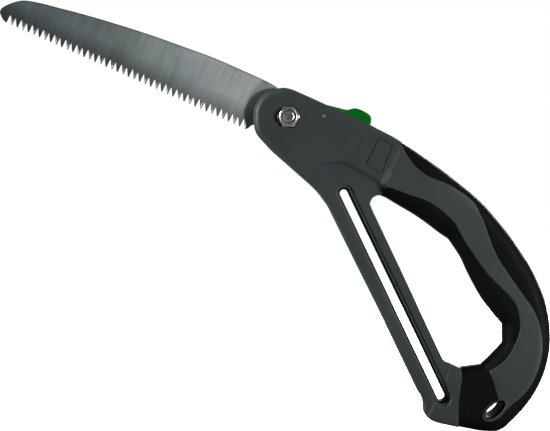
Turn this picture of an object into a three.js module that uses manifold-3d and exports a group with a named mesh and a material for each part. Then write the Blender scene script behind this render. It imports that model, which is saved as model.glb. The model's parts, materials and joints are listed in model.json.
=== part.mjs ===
// Folding pruning saw with a closed D handle, blade open.
// Millimetres, +Z up. Modelled with the blade pivot axis at the origin and the
// handle's parting plane at y = 0; the whole group is then shifted.
// The blade points to -X and up, the strut and the grip run down towards +X.
// The nut side ("front") faces -Y, the screw side ("rear") faces +Y.
import * as THREE from "three";
import { mergeVertices } from "three/addons/utils/BufferGeometryUtils.js";
import Module from "manifold-3d";

const wasm = await Module();
wasm.setup();

// ---------------------------------------------------------------- driving dimensions
const HEAD_HALF = 8.0; // half thickness of the head
const STRUT_HALF = 6.5; // half thickness of the front strut
const FOOT_HALF = 8.0; // half thickness of the foot
const CORE_HALF = 8.2; // half thickness of the hard core under the soft grip
const RUBBER_HALF = 10.8; // half thickness over the soft grip
const BAND_HALF = 12.0; // half thickness over the hard band along the grip
const BEVEL = 1; // 45 degree bevel on the edges of the shell
const CORE_EDGE = { from: 6.6, inset: 1.2 }; // the core's edge slopes from this level
const SOFT_THICKNESS = 2.3; // soft layer, measured in the XZ plane
const GAP = 0.1; // gap between the soft layer and the hard shell
const SLIT_HALF = 1.5; // half width of the slit the blade folds into
const BLADE_HALF = 0.7; // half thickness of the blade
const BEYOND = 14; // level past the thickest part, where cuts end
const PAST_MID = 1; // cuts in one half start this far over the parting plane

// blade: tang, lock notches and teeth
const TANG_R = 15.0;
const TANG_CAVITY_R = 15.5;
const NOTCH_BOTTOM_R = 13.3;
const NOTCH_DEG = 36.2; // nominal direction of the notch that locks the open blade
const FOLD_DEG = 139; // travel of the blade from open to folded
const TOOTH_COUNT = 44;
const TOOTH_DEPTH = 5.2;
const TOOTH_RAKE = 0.8; // how far each gullet lies behind its tip
const FIRST_TIP = [-28.6, -7.3]; // tooth tip nearest the handle
const LAST_TIP = [-186.3, 62.9]; // tooth tip at the point

// pivot, radii unless stated
const PIVOT_AT = [0, 0];
const PIVOT = { bolt: 4.0, bushIn: 4.12, bushOut: 5.5, bushHalf: 3.2, bladeBore: 5.62 };
const NUT = { flats: 13.0, pocketFlats: 14.4, bore: 4.15, ringSeat: 5.5, ringLevel: -9 };
const POCKET_FLOOR = 5.0; // half-thickness level of the nut and bolt-head pockets
const THRUST_WASHER = { outer: 12, bore: 5.65, play: 0.05 };

// lock lever
const LOCK_PIN = { at: [22.9, 0.6], r: 1.15, shellBore: 1.25, pawlBore: 1.35 };
const PAWL_HALF = 1.4;
const SPRING = {
  at: [43, 0], // x, y of its axis
  z0: -13.3, z1: -5.2, r: 1.9, wireR: 0.3, turns: 5, stepsPerTurn: 12, sides: 5,
};
const SPRING_BORE = { r: 2.6, depth: 9, below: 0.2 }; // starts this far below the spring

// Strut boxes: start and end lie along the strut from the pivot,
// near and far lie across it, towards the grip.
const STRUT_DEG = -64.4; // direction of the strut, from the pivot downwards
const WINDOW = { start: 58.5, end: 211.4, near: 8.7, far: 14.1 };
const WINDOW_CORNER_R = 2.2;
const SLOT_GROW = 2.3; // the slot in the shells is this much larger all round
const SLOT_CORNER_R = 3.2;
const CHANNEL = { start: 50, end: 215.5, near: 1.2, far: 20.6 };
const CHANNEL_HALF = 3.6;
const CHANNEL_HOLLOW = { start: 45, end: 213, near: -3.8, far: 19.2 };

const LANYARD = { at: [134.2, -191.2], a: 7.9, b: 3.8, rim: 1.7, deg: 41 }; // oval hole

// screws: head is the level of the head's seat, holeEnd that of the blind hole's end
const THIN_PART = { head: 5.0, holeEnd: -4.9 };
const GRIP_PART = { head: 8.0, holeEnd: -6.4 };
const SCREW_TIP_GAP = 0.2; // from the tip to the end of its hole
const SCREWS = [
  { at: [37.4, -21.6], part: THIN_PART },
  { at: [58.5, -37.5], part: THIN_PART },
  { at: [98.6, -51], part: GRIP_PART },
  { at: [121, -76.3], part: GRIP_PART },
  { at: [145.5, -113.5], part: GRIP_PART },
  { at: [155, -155], part: GRIP_PART },
  { at: [105.6, -195.4], part: THIN_PART },
];

// ---------------------------------------------------------------- measured lines, [x, z]
// top of the head, from the blade to the grip
const HEAD_TOP = [
  [-22.3, -9.2], [-22.9, -1.5], [-22.5, 5.3], [-20.9, 9.1], [-18.5, 12.9], [-14.7, 16.3],
  [-9.9, 18.2], [-5.5, 19], [-3.1, 19.3], [2.6, 18], [8, 15.7], [13.4, 13.3], [18.8, 11],
  [25.7, 7.7], [36.7, 3.4], [43.9, -1], [54, -5.3], [57.4, -7.2], [62.7, -9.9],
  [67.9, -12.6], [73.4, -15.6],
];
// -X edge of the handle, from the head down the strut and under the foot
const FRONT_EDGE = [
  [-21.9, -9.9], [-19.5, -12.4], [-15.8, -16.6], [-11.9, -21], [-7.5, -24.9], [1.4, -32.7],
  [10.1, -40.5], [14.5, -44.4], [18.7, -48.6], [22.3, -53.2], [25.7, -58], [28.4, -63.2],
  [41.4, -89.7], [57.1, -121.4], [72.4, -153.3], [82.6, -174.5], [85.1, -179.9],
  [87.3, -185.3], [87.8, -191.2], [90.2, -196.3], [95.2, -199.4], [100.9, -200.9],
  [106.7, -202.3],
];
// soft grip, outer side and side facing the opening, both from the top down
const GRIP_OUTER = [
  [75.4, -17.2], [78.3, -18.9], [83.3, -22.1], [93.1, -28.9], [102.8, -35.8], [112.1, -43.1],
  [121.3, -50.6], [129.9, -58.8], [137.6, -67.8], [145.1, -77.1], [151.8, -86.9],
  [158.3, -96.8], [163.6, -107.4], [168, -118.4], [170.9, -130], [172.1, -141.8],
  [171.5, -153.6], [169, -165.1], [164.5, -176.2], [158.4, -186.3], [150.7, -195.4],
  [142.3, -203.7], [137, -206.3], [131.1, -206.4], [125.2, -205.9], [119.3, -204.9],
  [112.2, -203.6],
];
const GRIP_INNER = [
  [61, -51.6], [63.8, -52.5], [72.9, -57.9], [82, -63.2], [90.8, -69.2], [99.2, -75.6],
  [106.8, -82.7], [112.9, -91.3], [117.6, -100.8], [122.4, -110.2], [127.7, -119.3],
  [134, -127.7], [140.6, -136], [141, -141.2], [141, -146.5], [138.5, -151],
  [134.9, -154.9], [131.2, -158.7], [127, -162], [122.2, -163.5], [113.4, -164.0],
];
// strut's side facing the opening, from the foot up
const STRUT_INNER = [
  [108.9, -162.6], [106.7, -161.6], [102.1, -159.2], [101.2, -158.4], [87.7, -130.1],
  [74.4, -101.7], [60.9, -73.3], [56.4, -63.8], [54.3, -59], [53.6, -56.7], [54.7, -54],
  [56.1, -52.1], [58.4, -51.3],
];
// line where the head meets the grip, downwards
const RIDGE = [
  [74.4, -18.4], [71.9, -26.4], [68.3, -35.1], [64.4, -43.6], [62.6, -47.6], [60.9, -51.0],
];
// line where the foot meets the grip, downwards
const FOOT_LINE = [[113.3, -172.2], [112.7, -178.1], [111.5, -189.8], [111.0, -201]];
// lower edge of the thick part of the head
const STEP_LINE = [
  [-1.9, -29.8], [9.5, -37.1], [13.4, -34.8], [18, -32.5], [23.9, -30.6], [30.4, -29.8],
  [37, -30.6], [42.2, -32.9], [48.1, -36.1], [53.3, -39.1], [57.9, -42], [60.5, -43.6],
];
// both sides of the hard band along the grip, from the top down
const BAND_OUTER = [
  [75.2, -20.6], [78.2, -26.2], [82, -31.6], [86.2, -35.4], [90.5, -38.6], [96.1, -41.1],
  [101.1, -43], [106.3, -45.3], [111.6, -48.5], [116.6, -52], [121.8, -57.1], [125.1, -64],
  [128.3, -71.4], [130.5, -78.3], [133.3, -85.8], [137, -93.2], [142, -100.7],
  [146.9, -108.1], [153.6, -117.5], [158.3, -123.9], [161.8, -130.9], [164.1, -138],
  [165.3, -146.2], [165.3, -153.2], [163.5, -161.9], [160.6, -170.1], [156.5, -177.1],
  [151.2, -183], [145.4, -187.7], [142.5, -189.4],
];
const BAND_INNER = [
  [66.2, -46.4], [72.5, -48.7], [78.1, -50.8], [83, -52.5], [89, -54.6], [93.6, -57.1],
  [98.3, -60.2], [103.9, -65.1], [108.4, -69.6], [111.5, -75.2], [115.2, -82],
  [120.2, -89.5], [125.8, -97.6], [131.4, -104.4], [138.2, -111.3], [144.8, -118],
  [148.3, -123.3], [150.1, -128.6], [150.8, -133.9], [150.7, -138.5], [148.9, -145],
  [146.6, -150.3], [143, -156], [138.4, -160.7], [133.7, -164], [131.4, -166.1],
  [133.8, -171.9], [135.6, -177.8], [137, -183.6], [138.4, -186.6],
];
// point and back of the blade, from the last tooth towards the tang
const BLADE_BACK = [
  [-187.8, 64.2], [-189.7, 67.5], [-190.5, 69.4], [-190, 71.4], [-187.6, 73.1],
  [-182.4, 75.6], [-175.1, 77.4], [-166.5, 76.2], [-150.7, 72.3], [-130.9, 67],
  [-111.1, 61.1], [-90.6, 54.5], [-69.5, 47], [-48.4, 39.2], [-31.9, 32.2], [-13.4, 24],
];
// closed outlines of the lock lever and its pockets
const BUTTON = [
  [25.8, 8.2], [32.6, 6.5], [39.9, 5.1], [41.6, 5.5], [43.8, 6.1], [47.1, 5.4], [52.4, 2.6],
  [54, 1.2], [54.7, -1.4], [54, -4.7], [53.2, -6.2], [49, -6.6], [44, -5], [36, -4.2],
  [30, -1.5], [26.6, 3.5],
];
const PAWL = [
  [11.49, 10.87], [12.78, 8.38], [14.73, 9.4], [17, 6.8], [18.9, 2.2], [19.6, -1.6],
  [22.9, -3.4], [26.5, -2.8], [33, -2.4], [45.5, -3.2], [46.5, -1], [44.5, 1.6], [32, 3.9],
  [25.5, 6.5], [18.9, 9.4], [14.2, 11.7],
];
const PAWL_POCKET = [
  [9.6, 11.2], [12.2, 5], [16.5, 4.6], [18, -1], [19.3, -3], [22.9, -4.6], [46.3, -4.9],
  [48.5, -1], [47, 7], [30, 9], [24.2, 7.75], [19, 9.95], [14.2, 12.15],
];
const BUTTON_POCKET = [
  [24, 12], [24.2, 2.6], [29.3, -2.6], [35.6, -5.4], [43.6, -6.2], [48.6, -8.2], [54.2, -8],
  [55.6, -4.5], [56, 8], [40, 16],
];
const LABEL_RECESS = [[59, -13.8], [68.1, -18.9], [60.4, -37.2], [50.6, -30.8]];

// ---------------------------------------------------------------- outline helpers
const radians = (deg) => (deg * Math.PI) / 180;
const polar = (radius, deg) => [
  radius * Math.cos(radians(deg)),
  radius * Math.sin(radians(deg)),
];
const arc = (radius, angles) => angles.map((deg) => polar(radius, deg));
const reversed = (points) => [...points].reverse();

function counterClockwise(points) {
  const twiceArea = points.reduce((sum, [x, z], i) => {
    const [nextX, nextZ] = points[(i + 1) % points.length];
    return sum + x * nextZ - nextX * z;
  }, 0);
  return twiceArea < 0 ? reversed(points) : points;
}

const hexagon = (flats) => arc(flats / Math.sqrt(3), [0, 60, 120, 180, 240, 300]);

// the lanyard hole's oval, grown all round
function lanyardOval(grow) {
  const count = 24;
  const { at, a, b, deg } = LANYARD;
  const [cos, sin] = polar(1, deg);
  return Array.from({ length: count }, (_, i) => {
    const turn = (2 * Math.PI * i) / count;
    const x = (a + grow) * Math.cos(turn);
    const z = (b + grow) * Math.sin(turn);
    return [at[0] + x * cos - z * sin, at[1] + x * sin + z * cos];
  });
}

// point in the strut's own directions: along it, and across it towards the grip
const [ALONG_X, ALONG_Z] = polar(1, STRUT_DEG);
const onStrut = (along, across) => [
  ALONG_X * along - ALONG_Z * across,
  ALONG_Z * along + ALONG_X * across,
];
const strutBox = ({ start, end, near, far }) => [
  onStrut(start, near), onStrut(end, near), onStrut(end, far), onStrut(start, far),
];
const grown = ({ start, end, near, far }, by) => (
  { start: start - by, end: end + by, near: near - by, far: far + by }
);

function roundedStrutBox({ start, end, near, far }, radius) {
  const steps = 4;
  const corners = [ // along, across, first angle
    [start + radius, near + radius, 180],
    [start + radius, far - radius, 90],
    [end - radius, far - radius, 0],
    [end - radius, near + radius, -90],
  ];
  return corners.flatMap(([along, across, deg]) =>
    Array.from({ length: steps + 1 }, (_, i) => {
      const [da, dc] = polar(radius, deg - (90 * i) / steps);
      return onStrut(along + da, across + dc);
    }));
}

function leftNormal([x0, z0], [x1, z1]) {
  const length = Math.hypot(x1 - x0, z1 - z0) || 1;
  return [-(z1 - z0) / length, (x1 - x0) / length];
}

// moves a corner along its mitre; before and after are its two sides' normals
function movedCorner([x, z], before, after, distance) {
  const spread = Math.max(0.35, 1 + before[0] * after[0] + before[1] * after[1]);
  const scale = distance / spread;
  return [x + (before[0] + after[0]) * scale, z + (before[1] + after[1]) * scale];
}

// moves a closed outline inwards (outwards when the distance is negative)
function inset(points, distance) {
  if (!distance) return points;
  const ring = counterClockwise(points);
  const count = ring.length;
  return ring.map((point, i) => {
    const before = leftNormal(ring[(i + count - 1) % count], point);
    const after = leftNormal(point, ring[(i + 1) % count]);
    return movedCorner(point, before, after, distance);
  });
}

// moves an open line to its left (to its right when the distance is negative)
function shifted(line, distance) {
  const normals = line.slice(1).map((point, i) => leftNormal(line[i], point));
  return line.map((point, i) => {
    const before = normals[Math.max(i - 1, 0)];
    const after = normals[Math.min(i, normals.length - 1)];
    return movedCorner(point, before, after, distance);
  });
}

// ---------------------------------------------------------------- solid helpers
const solidOf = (vertProperties, triVerts) =>
  new wasm.Manifold(new wasm.Mesh({ numProp: 3, vertProperties, triVerts }));

function fromGeometry(geometry) {
  geometry.deleteAttribute("normal");
  geometry.deleteAttribute("uv");
  const merged = mergeVertices(geometry, 1e-4);
  return solidOf(merged.attributes.position.array, new Uint32Array(merged.index.array));
}

function fromTriangles(vertices, triangles) {
  const geometry = new THREE.BufferGeometry();
  geometry.setAttribute("position", new THREE.Float32BufferAttribute(vertices, 3));
  geometry.setIndex(triangles);
  return fromGeometry(geometry);
}

// a plate in the XZ plane: levels is [y, inset] from its highest y to its lowest
function plate(outline, levels) {
  const ring = counterClockwise(outline);
  const count = ring.length;
  const rings = levels.map(([, distance]) => inset(ring, distance));
  const vertices = rings.flatMap((points, k) => points.flatMap(([x, z]) => [x, levels[k][0], z]));
  const triangles = [];
  for (let k = 0; k + 1 < levels.length; k++) {
    for (let i = 0; i < count; i++) {
      const upper = k * count + i;
      const upperNext = k * count + ((i + 1) % count);
      const lowerNext = upperNext + count;
      triangles.push(upper, upperNext, lowerNext, upper, lowerNext, upper + count);
    }
  }
  const addCap = (level, facesPlusY) => {
    const points = rings[level].map(([x, z]) => new THREE.Vector2(x, z));
    const faces = THREE.ShapeUtils.triangulateShape(points, []);
    const winding = faces.reduce((sum, [a, b, c]) => {
      const sideB = points[b].clone().sub(points[a]);
      return sum + sideB.cross(points[c].clone().sub(points[a]));
    }, 0);
    const first = level * count;
    for (const [a, b, c] of faces) {
      // a counter-clockwise triangle in x, z faces -Y
      const [second, third] = winding > 0 !== facesPlusY ? [b, c] : [c, b];
      triangles.push(first + a, first + second, first + third);
    }
  };
  addCap(0, true);
  addCap(levels.length - 1, false);
  return fromTriangles(vertices, triangles);
}

const slab = (outline, yHigh, yLow) => plate(outline, [[yHigh, 0], [yLow, 0]]);
const throughCut = (outline) => slab(outline, BEYOND, -BEYOND);

// turned about a line parallel to Y: profile is [radius, y], from the axis at the
// lowest y, outwards and back to the axis
function turnedPiece([x, z], profile, segments) {
  const points = profile.map(([radius, y]) => new THREE.Vector2(radius, y));
  const geometry = new THREE.LatheGeometry(points, segments);
  geometry.translate(x, 0, z);
  return fromGeometry(geometry);
}

const rod = (at, radius, yHigh, yLow, segments) =>
  turnedPiece(at, [[0, yLow], [radius, yLow], [radius, yHigh], [0, yHigh]], segments);
const bore = (at, radius, segments) => rod(at, radius, BEYOND, -BEYOND, segments);
const washer = (outer, inner, yHigh, yLow) =>
  rod(PIVOT_AT, outer, yHigh, yLow, 32).subtract(bore(PIVOT_AT, inner, 32));
const subtractAll = (body, cuts) => cuts.reduce((rest, cut) => rest.subtract(cut), body);

// the same solid on the other side of the parting plane
function mirrored(body) {
  const mesh = body.getMesh();
  const vertices = new Float32Array(mesh.vertProperties);
  for (let i = 1; i < vertices.length; i += 3) vertices[i] = -vertices[i];
  const triangles = new Uint32Array(mesh.triVerts);
  for (let i = 0; i < triangles.length; i += 3) {
    [triangles[i + 1], triangles[i + 2]] = [triangles[i + 2], triangles[i + 1]];
  }
  return solidOf(vertices, triangles);
}

// ---------------------------------------------------------------- materials and group
const GREY = { color: 0x3f4445, roughness: 0.5, metalness: 0 };
const BLACK = { color: 0x131414, roughness: 0.8, metalness: 0 };
const STEEL = { color: 0x9aa0a0, roughness: 0.35, metalness: 1 };
const ZINC = { color: 0xa5a8a6, roughness: 0.35, metalness: 1 };
const GREEN = { color: 0x0a6a24, roughness: 0.3, metalness: 0 };
const NYLON = { color: 0xc9cbc4, roughness: 0.6, metalness: 0 };

const root = new THREE.Group();

function put(name, body, finish) {
  const { vertProperties, triVerts } = body.getMesh();
  const geometry = new THREE.BufferGeometry();
  geometry.setAttribute("position", new THREE.BufferAttribute(vertProperties, 3));
  geometry.setIndex(new THREE.BufferAttribute(triVerts, 1));
  geometry.computeVertexNormals();
  const mesh = new THREE.Mesh(geometry, new THREE.MeshStandardMaterial(finish));
  mesh.name = name;
  root.add(mesh);
}

// ---------------------------------------------------------------- outlines of the handle
const coreOuter = shifted(GRIP_OUTER, -SOFT_THICKNESS);
const coreInner = shifted(GRIP_INNER, SOFT_THICKNESS);
const shellOutline = [
  ...FRONT_EDGE, [110.6, -203.1], ...reversed(coreOuter.slice(0, -1)), [74.2, -17.0],
  ...reversed(HEAD_TOP),
];
const opening = [...STRUT_INNER, [60.2, -51.2], ...coreInner.slice(1), [112.9, -164.4]];
const gripOutline = [
  ...reversed(GRIP_OUTER.slice(2)), [79.6, -20.0], [76.8, -20.6], ...RIDGE.slice(1, 4),
  [62.4, -49.2], [63.0, -51.8], ...GRIP_INNER.slice(2), [112.9, -167], ...FOOT_LINE,
];
const coreOutline = [
  [112.4, -201.0], ...reversed(coreOuter.slice(1, -1)), [76, -22], ...RIDGE.slice(1, -1),
  ...coreInner.slice(2, -1), [113.3, -168.5], ...FOOT_LINE.slice(0, -1),
];
const bandOutline = [
  ...reversed(BAND_OUTER), [72.8, -24.4], [68.6, -35], [65, -43.2], ...BAND_INNER,
];
const headOutline = [
  ...reversed(HEAD_TOP), [-19.5, -12.4], [-11.9, -21], ...STEP_LINE,
  [64.4, -43.6], [68.3, -35.1], [71.9, -26.4], [74.2, -18.4],
];
const footOutline = [
  [92, -196.4], [95.2, -199.4], [100.9, -200.9], [110.6, -203.1], ...reversed(FOOT_LINE),
  [112.9, -165.2], [107.2, -162.9], onStrut(196, 18.6), onStrut(214.2, 18.6),
  onStrut(216.8, 12), onStrut(216.6, 0),
];
// round the tang, down the strut to about 205 from the pivot, then outside the handle
const slit = [
  ...arc(TANG_CAVITY_R, [109, 95, 80, 65, 50, 38, 25.6]),
  onStrut(20, 15.5), onStrut(22, 18.8), onStrut(204.2, 18.8), onStrut(204.8, 9),
  onStrut(205, 0), onStrut(204.2, -18),
  [40, -190], [-70, -120], [-70, 60], polar(60, 109),
];

// ---------------------------------------------------------------- hard shell
function shellBody() {
  const overshoot = 0.1; // carries the opening's bevel past the strut's face
  const flare = -(BEVEL + overshoot);
  return plate(shellOutline, [[0, 0], [-(STRUT_HALF - BEVEL), 0], [-STRUT_HALF, BEVEL]])
    .add(plate(headOutline, [[-5, 0], [-(HEAD_HALF - BEVEL), 0.02], [-HEAD_HALF, BEVEL]]))
    .add(plate(footOutline, [[-5, 0], [-6.8, 0.05], [-FOOT_HALF, BEVEL]]))
    .subtract(plate(opening, [
      [PAST_MID, 0], [-(STRUT_HALF - BEVEL), 0],
      [-(STRUT_HALF + overshoot), flare], [-BEYOND, flare],
    ]))
    .add(plate(coreOutline, [
      [0, 0.05], [-CORE_EDGE.from, 0.05], [-CORE_HALF, CORE_EDGE.inset],
    ]))
    .add(plate(bandOutline, [[-7, 0.1], [-(BAND_HALF - BEVEL), 0.1], [-BAND_HALF, 0.9]]))
    .add(plate(lanyardOval(LANYARD.rim), [[-7, 0], [-11.2, 0], [-11.6, 0.5]]));
}

// bore along Z that holds the lock spring
function springBore() {
  const { r, depth, below } = SPRING_BORE;
  const hole = new THREE.CylinderGeometry(r, r, depth, 16);
  hole.rotateX(Math.PI / 2);
  hole.translate(SPRING.at[0], SPRING.at[1], SPRING.z0 - below + depth / 2);
  return fromGeometry(hole);
}

// weight-saving pockets inside the grip, with a boss left round each screw
function gripPockets() {
  const everySecond = (line) => line.filter((_, i) => i % 2 === 0);
  const outline = [
    ...reversed(everySecond(BAND_OUTER.slice(4, -6))),
    ...everySecond(BAND_INNER.slice(5, -9)),
  ];
  const wall = 2.2;
  const smallest = 20; // mm3, leaves out the slivers beside the bosses
  const bosses = SCREWS.map(({ at }) => rod(at, 4.2, 2, -8, 10));
  return subtractAll(slab(inset(outline, wall), PAST_MID, -6), bosses)
    .decompose()
    .filter((pocket) => pocket.volume() > smallest);
}

// what both halves share, on the nut side
function halfShell() {
  const pocket = (outline, depth) => slab(outline, PAST_MID, -depth);
  return subtractAll(shellBody(), [
    throughCut(lanyardOval(0)),
    pocket(slit, SLIT_HALF),
    pocket(strutBox(grown(CHANNEL, 0.3)), CHANNEL_HALF + 0.1),
    throughCut(roundedStrutBox(grown(WINDOW, SLOT_GROW), SLOT_CORNER_R)),
    rod(PIVOT_AT, PIVOT.bushOut + 0.1, PAST_MID, -(PIVOT.bushHalf + 0.1), 32),
    bore(PIVOT_AT, PIVOT.bolt + 0.2, 32),
    pocket(PAWL_POCKET, SLIT_HALF),
    pocket(BUTTON_POCKET, 3.8),
    springBore(),
    bore(LOCK_PIN.at, LOCK_PIN.shellBore, 16),
    ...gripPockets(),
  ]);
}

const SCREW_HOLE_R = 1.6;
const half = halfShell();
// nut side: hexagonal pocket, label recess and screw holes that stay blind
put("handle_shell_front", subtractAll(half, [
  slab(hexagon(NUT.pocketFlats), -POCKET_FLOOR, -BEYOND),
  slab(LABEL_RECESS, -(HEAD_HALF - 0.5), -BEYOND),
  ...SCREWS.map(({ at, part }) => rod(at, SCREW_HOLE_R, PAST_MID, part.holeEnd, 12)),
]), GREY);
// screw side: round pocket for the bolt head, and counterbores
put("handle_shell_rear", subtractAll(mirrored(half), [
  rod(PIVOT_AT, 8.3, BEYOND, POCKET_FLOOR, 32),
  ...SCREWS.flatMap(({ at, part }) => [
    rod(at, SCREW_HOLE_R, BEYOND, -PAST_MID, 12),
    rod(at, 3.2, BEYOND, part.head, 16),
  ]),
]), GREY);

// ---------------------------------------------------------------- soft grip
// one moulding on each half: the largest body left after cutting the hard parts out
function halfRubber() {
  const clearance = [[PAST_MID, -GAP], [-BEYOND, -GAP]];
  const rubber = plate(gripOutline, [
    [-0.02, 0], [-5, 0], [-8.4, 0.6], [-10, 1.5], [-RUBBER_HALF, 2.6],
  ]);
  const bodies = subtractAll(rubber, [
    plate(coreOutline, [
      [PAST_MID, -GAP], [-(CORE_EDGE.from + GAP), -GAP],
      [-(CORE_HALF + GAP), CORE_EDGE.inset - GAP],
    ]),
    slab(bandOutline, -3, -BEYOND),
    slab(inset(shellOutline, -GAP), PAST_MID, -(STRUT_HALF + GAP)),
    plate(footOutline, clearance),
    plate(headOutline, clearance),
    throughCut(lanyardOval(LANYARD.rim + 0.15)),
  ]).decompose();
  return bodies.sort((a, b) => b.volume() - a.volume())[0];
}

const rubber = halfRubber();
put("grip_overmould_front", rubber, BLACK);
put("grip_overmould_rear", mirrored(rubber), BLACK);

// ---------------------------------------------------------------- guard channel in the strut
const hollowHalf = SLIT_HALF + 0.1;
put("blade_guard_channel", subtractAll(slab(strutBox(CHANNEL), CHANNEL_HALF, -CHANNEL_HALF), [
  slab(strutBox(CHANNEL_HOLLOW), hollowHalf, -hollowHalf),
  throughCut(roundedStrutBox(WINDOW, WINDOW_CORNER_R)),
]), BLACK);

// ---------------------------------------------------------------- blade
// teeth from the handle to the point
function toothLine() {
  const run = [LAST_TIP[0] - FIRST_TIP[0], LAST_TIP[1] - FIRST_TIP[1]];
  const length = Math.hypot(...run);
  const [ux, uz] = run.map((part) => part / length);
  // back is towards the handle from the tip, deep is into the blade
  const nearTip = (tooth, back, deep) => {
    const along = (length * tooth) / (TOOTH_COUNT - 1) - back;
    return [FIRST_TIP[0] + ux * along + uz * deep, FIRST_TIP[1] + uz * along - ux * deep];
  };
  const points = [nearTip(0, 1.2, 3.0), FIRST_TIP];
  for (let k = 1; k < TOOTH_COUNT; k++) {
    points.push(
      nearTip(k, TOOTH_RAKE + 0.35, TOOTH_DEPTH),
      nearTip(k, TOOTH_RAKE - 0.1, TOOTH_DEPTH - 0.1),
      nearTip(k, 0, 0),
    );
  }
  return points;
}

const lockNotch = (deg) => [
  polar(TANG_R, deg + 7.1), polar(NOTCH_BOTTOM_R, deg + 6.3),
  polar(NOTCH_BOTTOM_R, deg - 6.7), polar(TANG_R, deg - 6.9),
];

// clockwise: shoulder, tang with its two notches, teeth, point, back
const bladeOutline = [
  polar(22.2, 109.5),
  ...arc(TANG_R, [109.5, 101, 92, 83, 74, 65, 56, 48]),
  ...lockNotch(NOTCH_DEG),
  ...arc(TANG_R, [22, 13, 4, -5, -14, -23, -32, -41, -50, -59, -68, -77, -86, -92]),
  ...lockNotch(NOTCH_DEG - FOLD_DEG),
  ...arc(TANG_R, [-112.5, -119]),
  [-22.5, -5.3], [-24.8, -5.6],
  ...toothLine(),
  ...BLADE_BACK,
];
put("saw_blade", slab(bladeOutline, BLADE_HALF, -BLADE_HALF)
  .subtract(bore(PIVOT_AT, PIVOT.bladeBore, 36)), STEEL);

// ---------------------------------------------------------------- pivot hardware
put("pivot_bolt", turnedPiece(PIVOT_AT, [
  [0, -11.5], [3.3, -11.5], [PIVOT.bolt, -10.8], [PIVOT.bolt, 5.85], [7.3, 5.85], [7.3, 8],
  [5.6, 9.2], [3, 9.5], [3, 7.6], [0, 7.6],
], 32), ZINC);

const nutCollar = turnedPiece(PIVOT_AT, [
  [0, -11.3], [5.8, -11.3], [6.1, -11], [6.1, NUT.ringLevel], [0, NUT.ringLevel],
], 32);
put("pivot_nut", slab(hexagon(NUT.flats), -(POCKET_FLOOR + 0.1), -9.8)
  .add(nutCollar)
  .subtract(bore(PIVOT_AT, NUT.bore, 32))
  .subtract(rod(PIVOT_AT, NUT.ringSeat, NUT.ringLevel, -BEYOND, 32)), ZINC);
put("nut_locking_ring",
  washer(NUT.ringSeat - 0.1, NUT.bore, NUT.ringLevel - 0.1, -10.9), NYLON);

put("pivot_bush", rod(PIVOT_AT, PIVOT.bushOut, PIVOT.bushHalf, -PIVOT.bushHalf, 36)
  .subtract(bore(PIVOT_AT, PIVOT.bushIn, 32)), STEEL);

// the thrust washers fill the slit beside the tang
const { outer, bore: washerBore, play } = THRUST_WASHER;
const washerNear = BLADE_HALF + play;
const washerFar = SLIT_HALF - play;
put("thrust_washer_front", washer(outer, washerBore, -washerNear, -washerFar), STEEL);
put("thrust_washer_rear", washer(outer, washerBore, washerFar, washerNear), STEEL);
put("bolt_washer", washer(7.9, 4.2, 5.75, POCKET_FLOOR + 0.05), ZINC);

// ---------------------------------------------------------------- lock lever
put("lock_pawl", slab(PAWL, PAWL_HALF, -PAWL_HALF)
  .subtract(bore(LOCK_PIN.at, LOCK_PIN.pawlBore, 16)), STEEL);
put("lock_button", plate(BUTTON, [
  [3.5, 0.8], [2.9, 0.2], [2.2, 0], [-2.2, 0], [-2.9, 0.2], [-3.5, 0.8],
]).subtract(slab(inset(PAWL, -0.15), PAWL_HALF + 0.1, -(PAWL_HALF + 0.1))), GREEN);
put("lock_pivot_pin", rod(LOCK_PIN.at, LOCK_PIN.r, 8.0, -8.05, 16), STEEL);

// coil spring along Z: a closed tube swept along the helix
function coilSpring() {
  const { at, z0, z1, r, wireR, turns, stepsPerTurn, sides } = SPRING;
  const steps = turns * stepsPerTurn;
  const vertices = [];
  const triangles = [];
  for (let i = 0; i <= steps; i++) {
    const turn = (2 * Math.PI * i) / stepsPerTurn;
    const z = z0 + wireR + ((z1 - z0 - 2 * wireR) * i) / steps;
    for (let j = 0; j < sides; j++) {
      const roll = (2 * Math.PI * j) / sides;
      const radius = r + wireR * Math.cos(roll);
      vertices.push(
        at[0] + radius * Math.cos(turn),
        at[1] + radius * Math.sin(turn),
        z + wireR * Math.sin(roll),
      );
    }
  }
  for (let i = 0; i < steps; i++) {
    for (let j = 0; j < sides; j++) {
      const a = i * sides + j;
      const b = i * sides + ((j + 1) % sides);
      triangles.push(a, a + sides, b, b, a + sides, b + sides);
    }
  }
  const last = steps * sides;
  for (let j = 1; j + 1 < sides; j++) {
    triangles.push(0, j, j + 1);
    triangles.push(last, last + j + 1, last + j);
  }
  return fromTriangles(vertices, triangles);
}
put("lock_spring", coilSpring(), STEEL);

// ---------------------------------------------------------------- screws that close the handle
SCREWS.forEach(({ at, part }, i) => {
  const tip = part.holeEnd + SCREW_TIP_GAP;
  const seat = part.head + 0.1;
  put(`shell_screw_${i + 1}`, turnedPiece(at, [
    [0, tip], [0.5, tip], [1.45, tip + 1.6], [1.45, seat], [2.9, seat], [2.9, seat + 1.1],
    [2.0, seat + 1.9], [0.9, seat + 2.1], [0.9, seat + 0.9], [0, seat + 0.9],
  ], 12), ZINC);
});

// puts the origin at the centre of the open saw's box
root.position.set(9.2, 0, 64.5);

export default root;
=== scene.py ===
# A folding saw, opened. It stands in the XZ plane with the pivot axis along Y: the blade points
# to -X and up, the handle falls to +X and down around an open middle. The handle's front half
# lies on -Y and its rear half on +Y. Shapes are drawn in millimetres from the pivot.
import json
import math
import bmesh
import bpy
import numpy as np
from mathutils import Matrix, Vector
from mathutils.geometry import delaunay_2d_cdt


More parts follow.
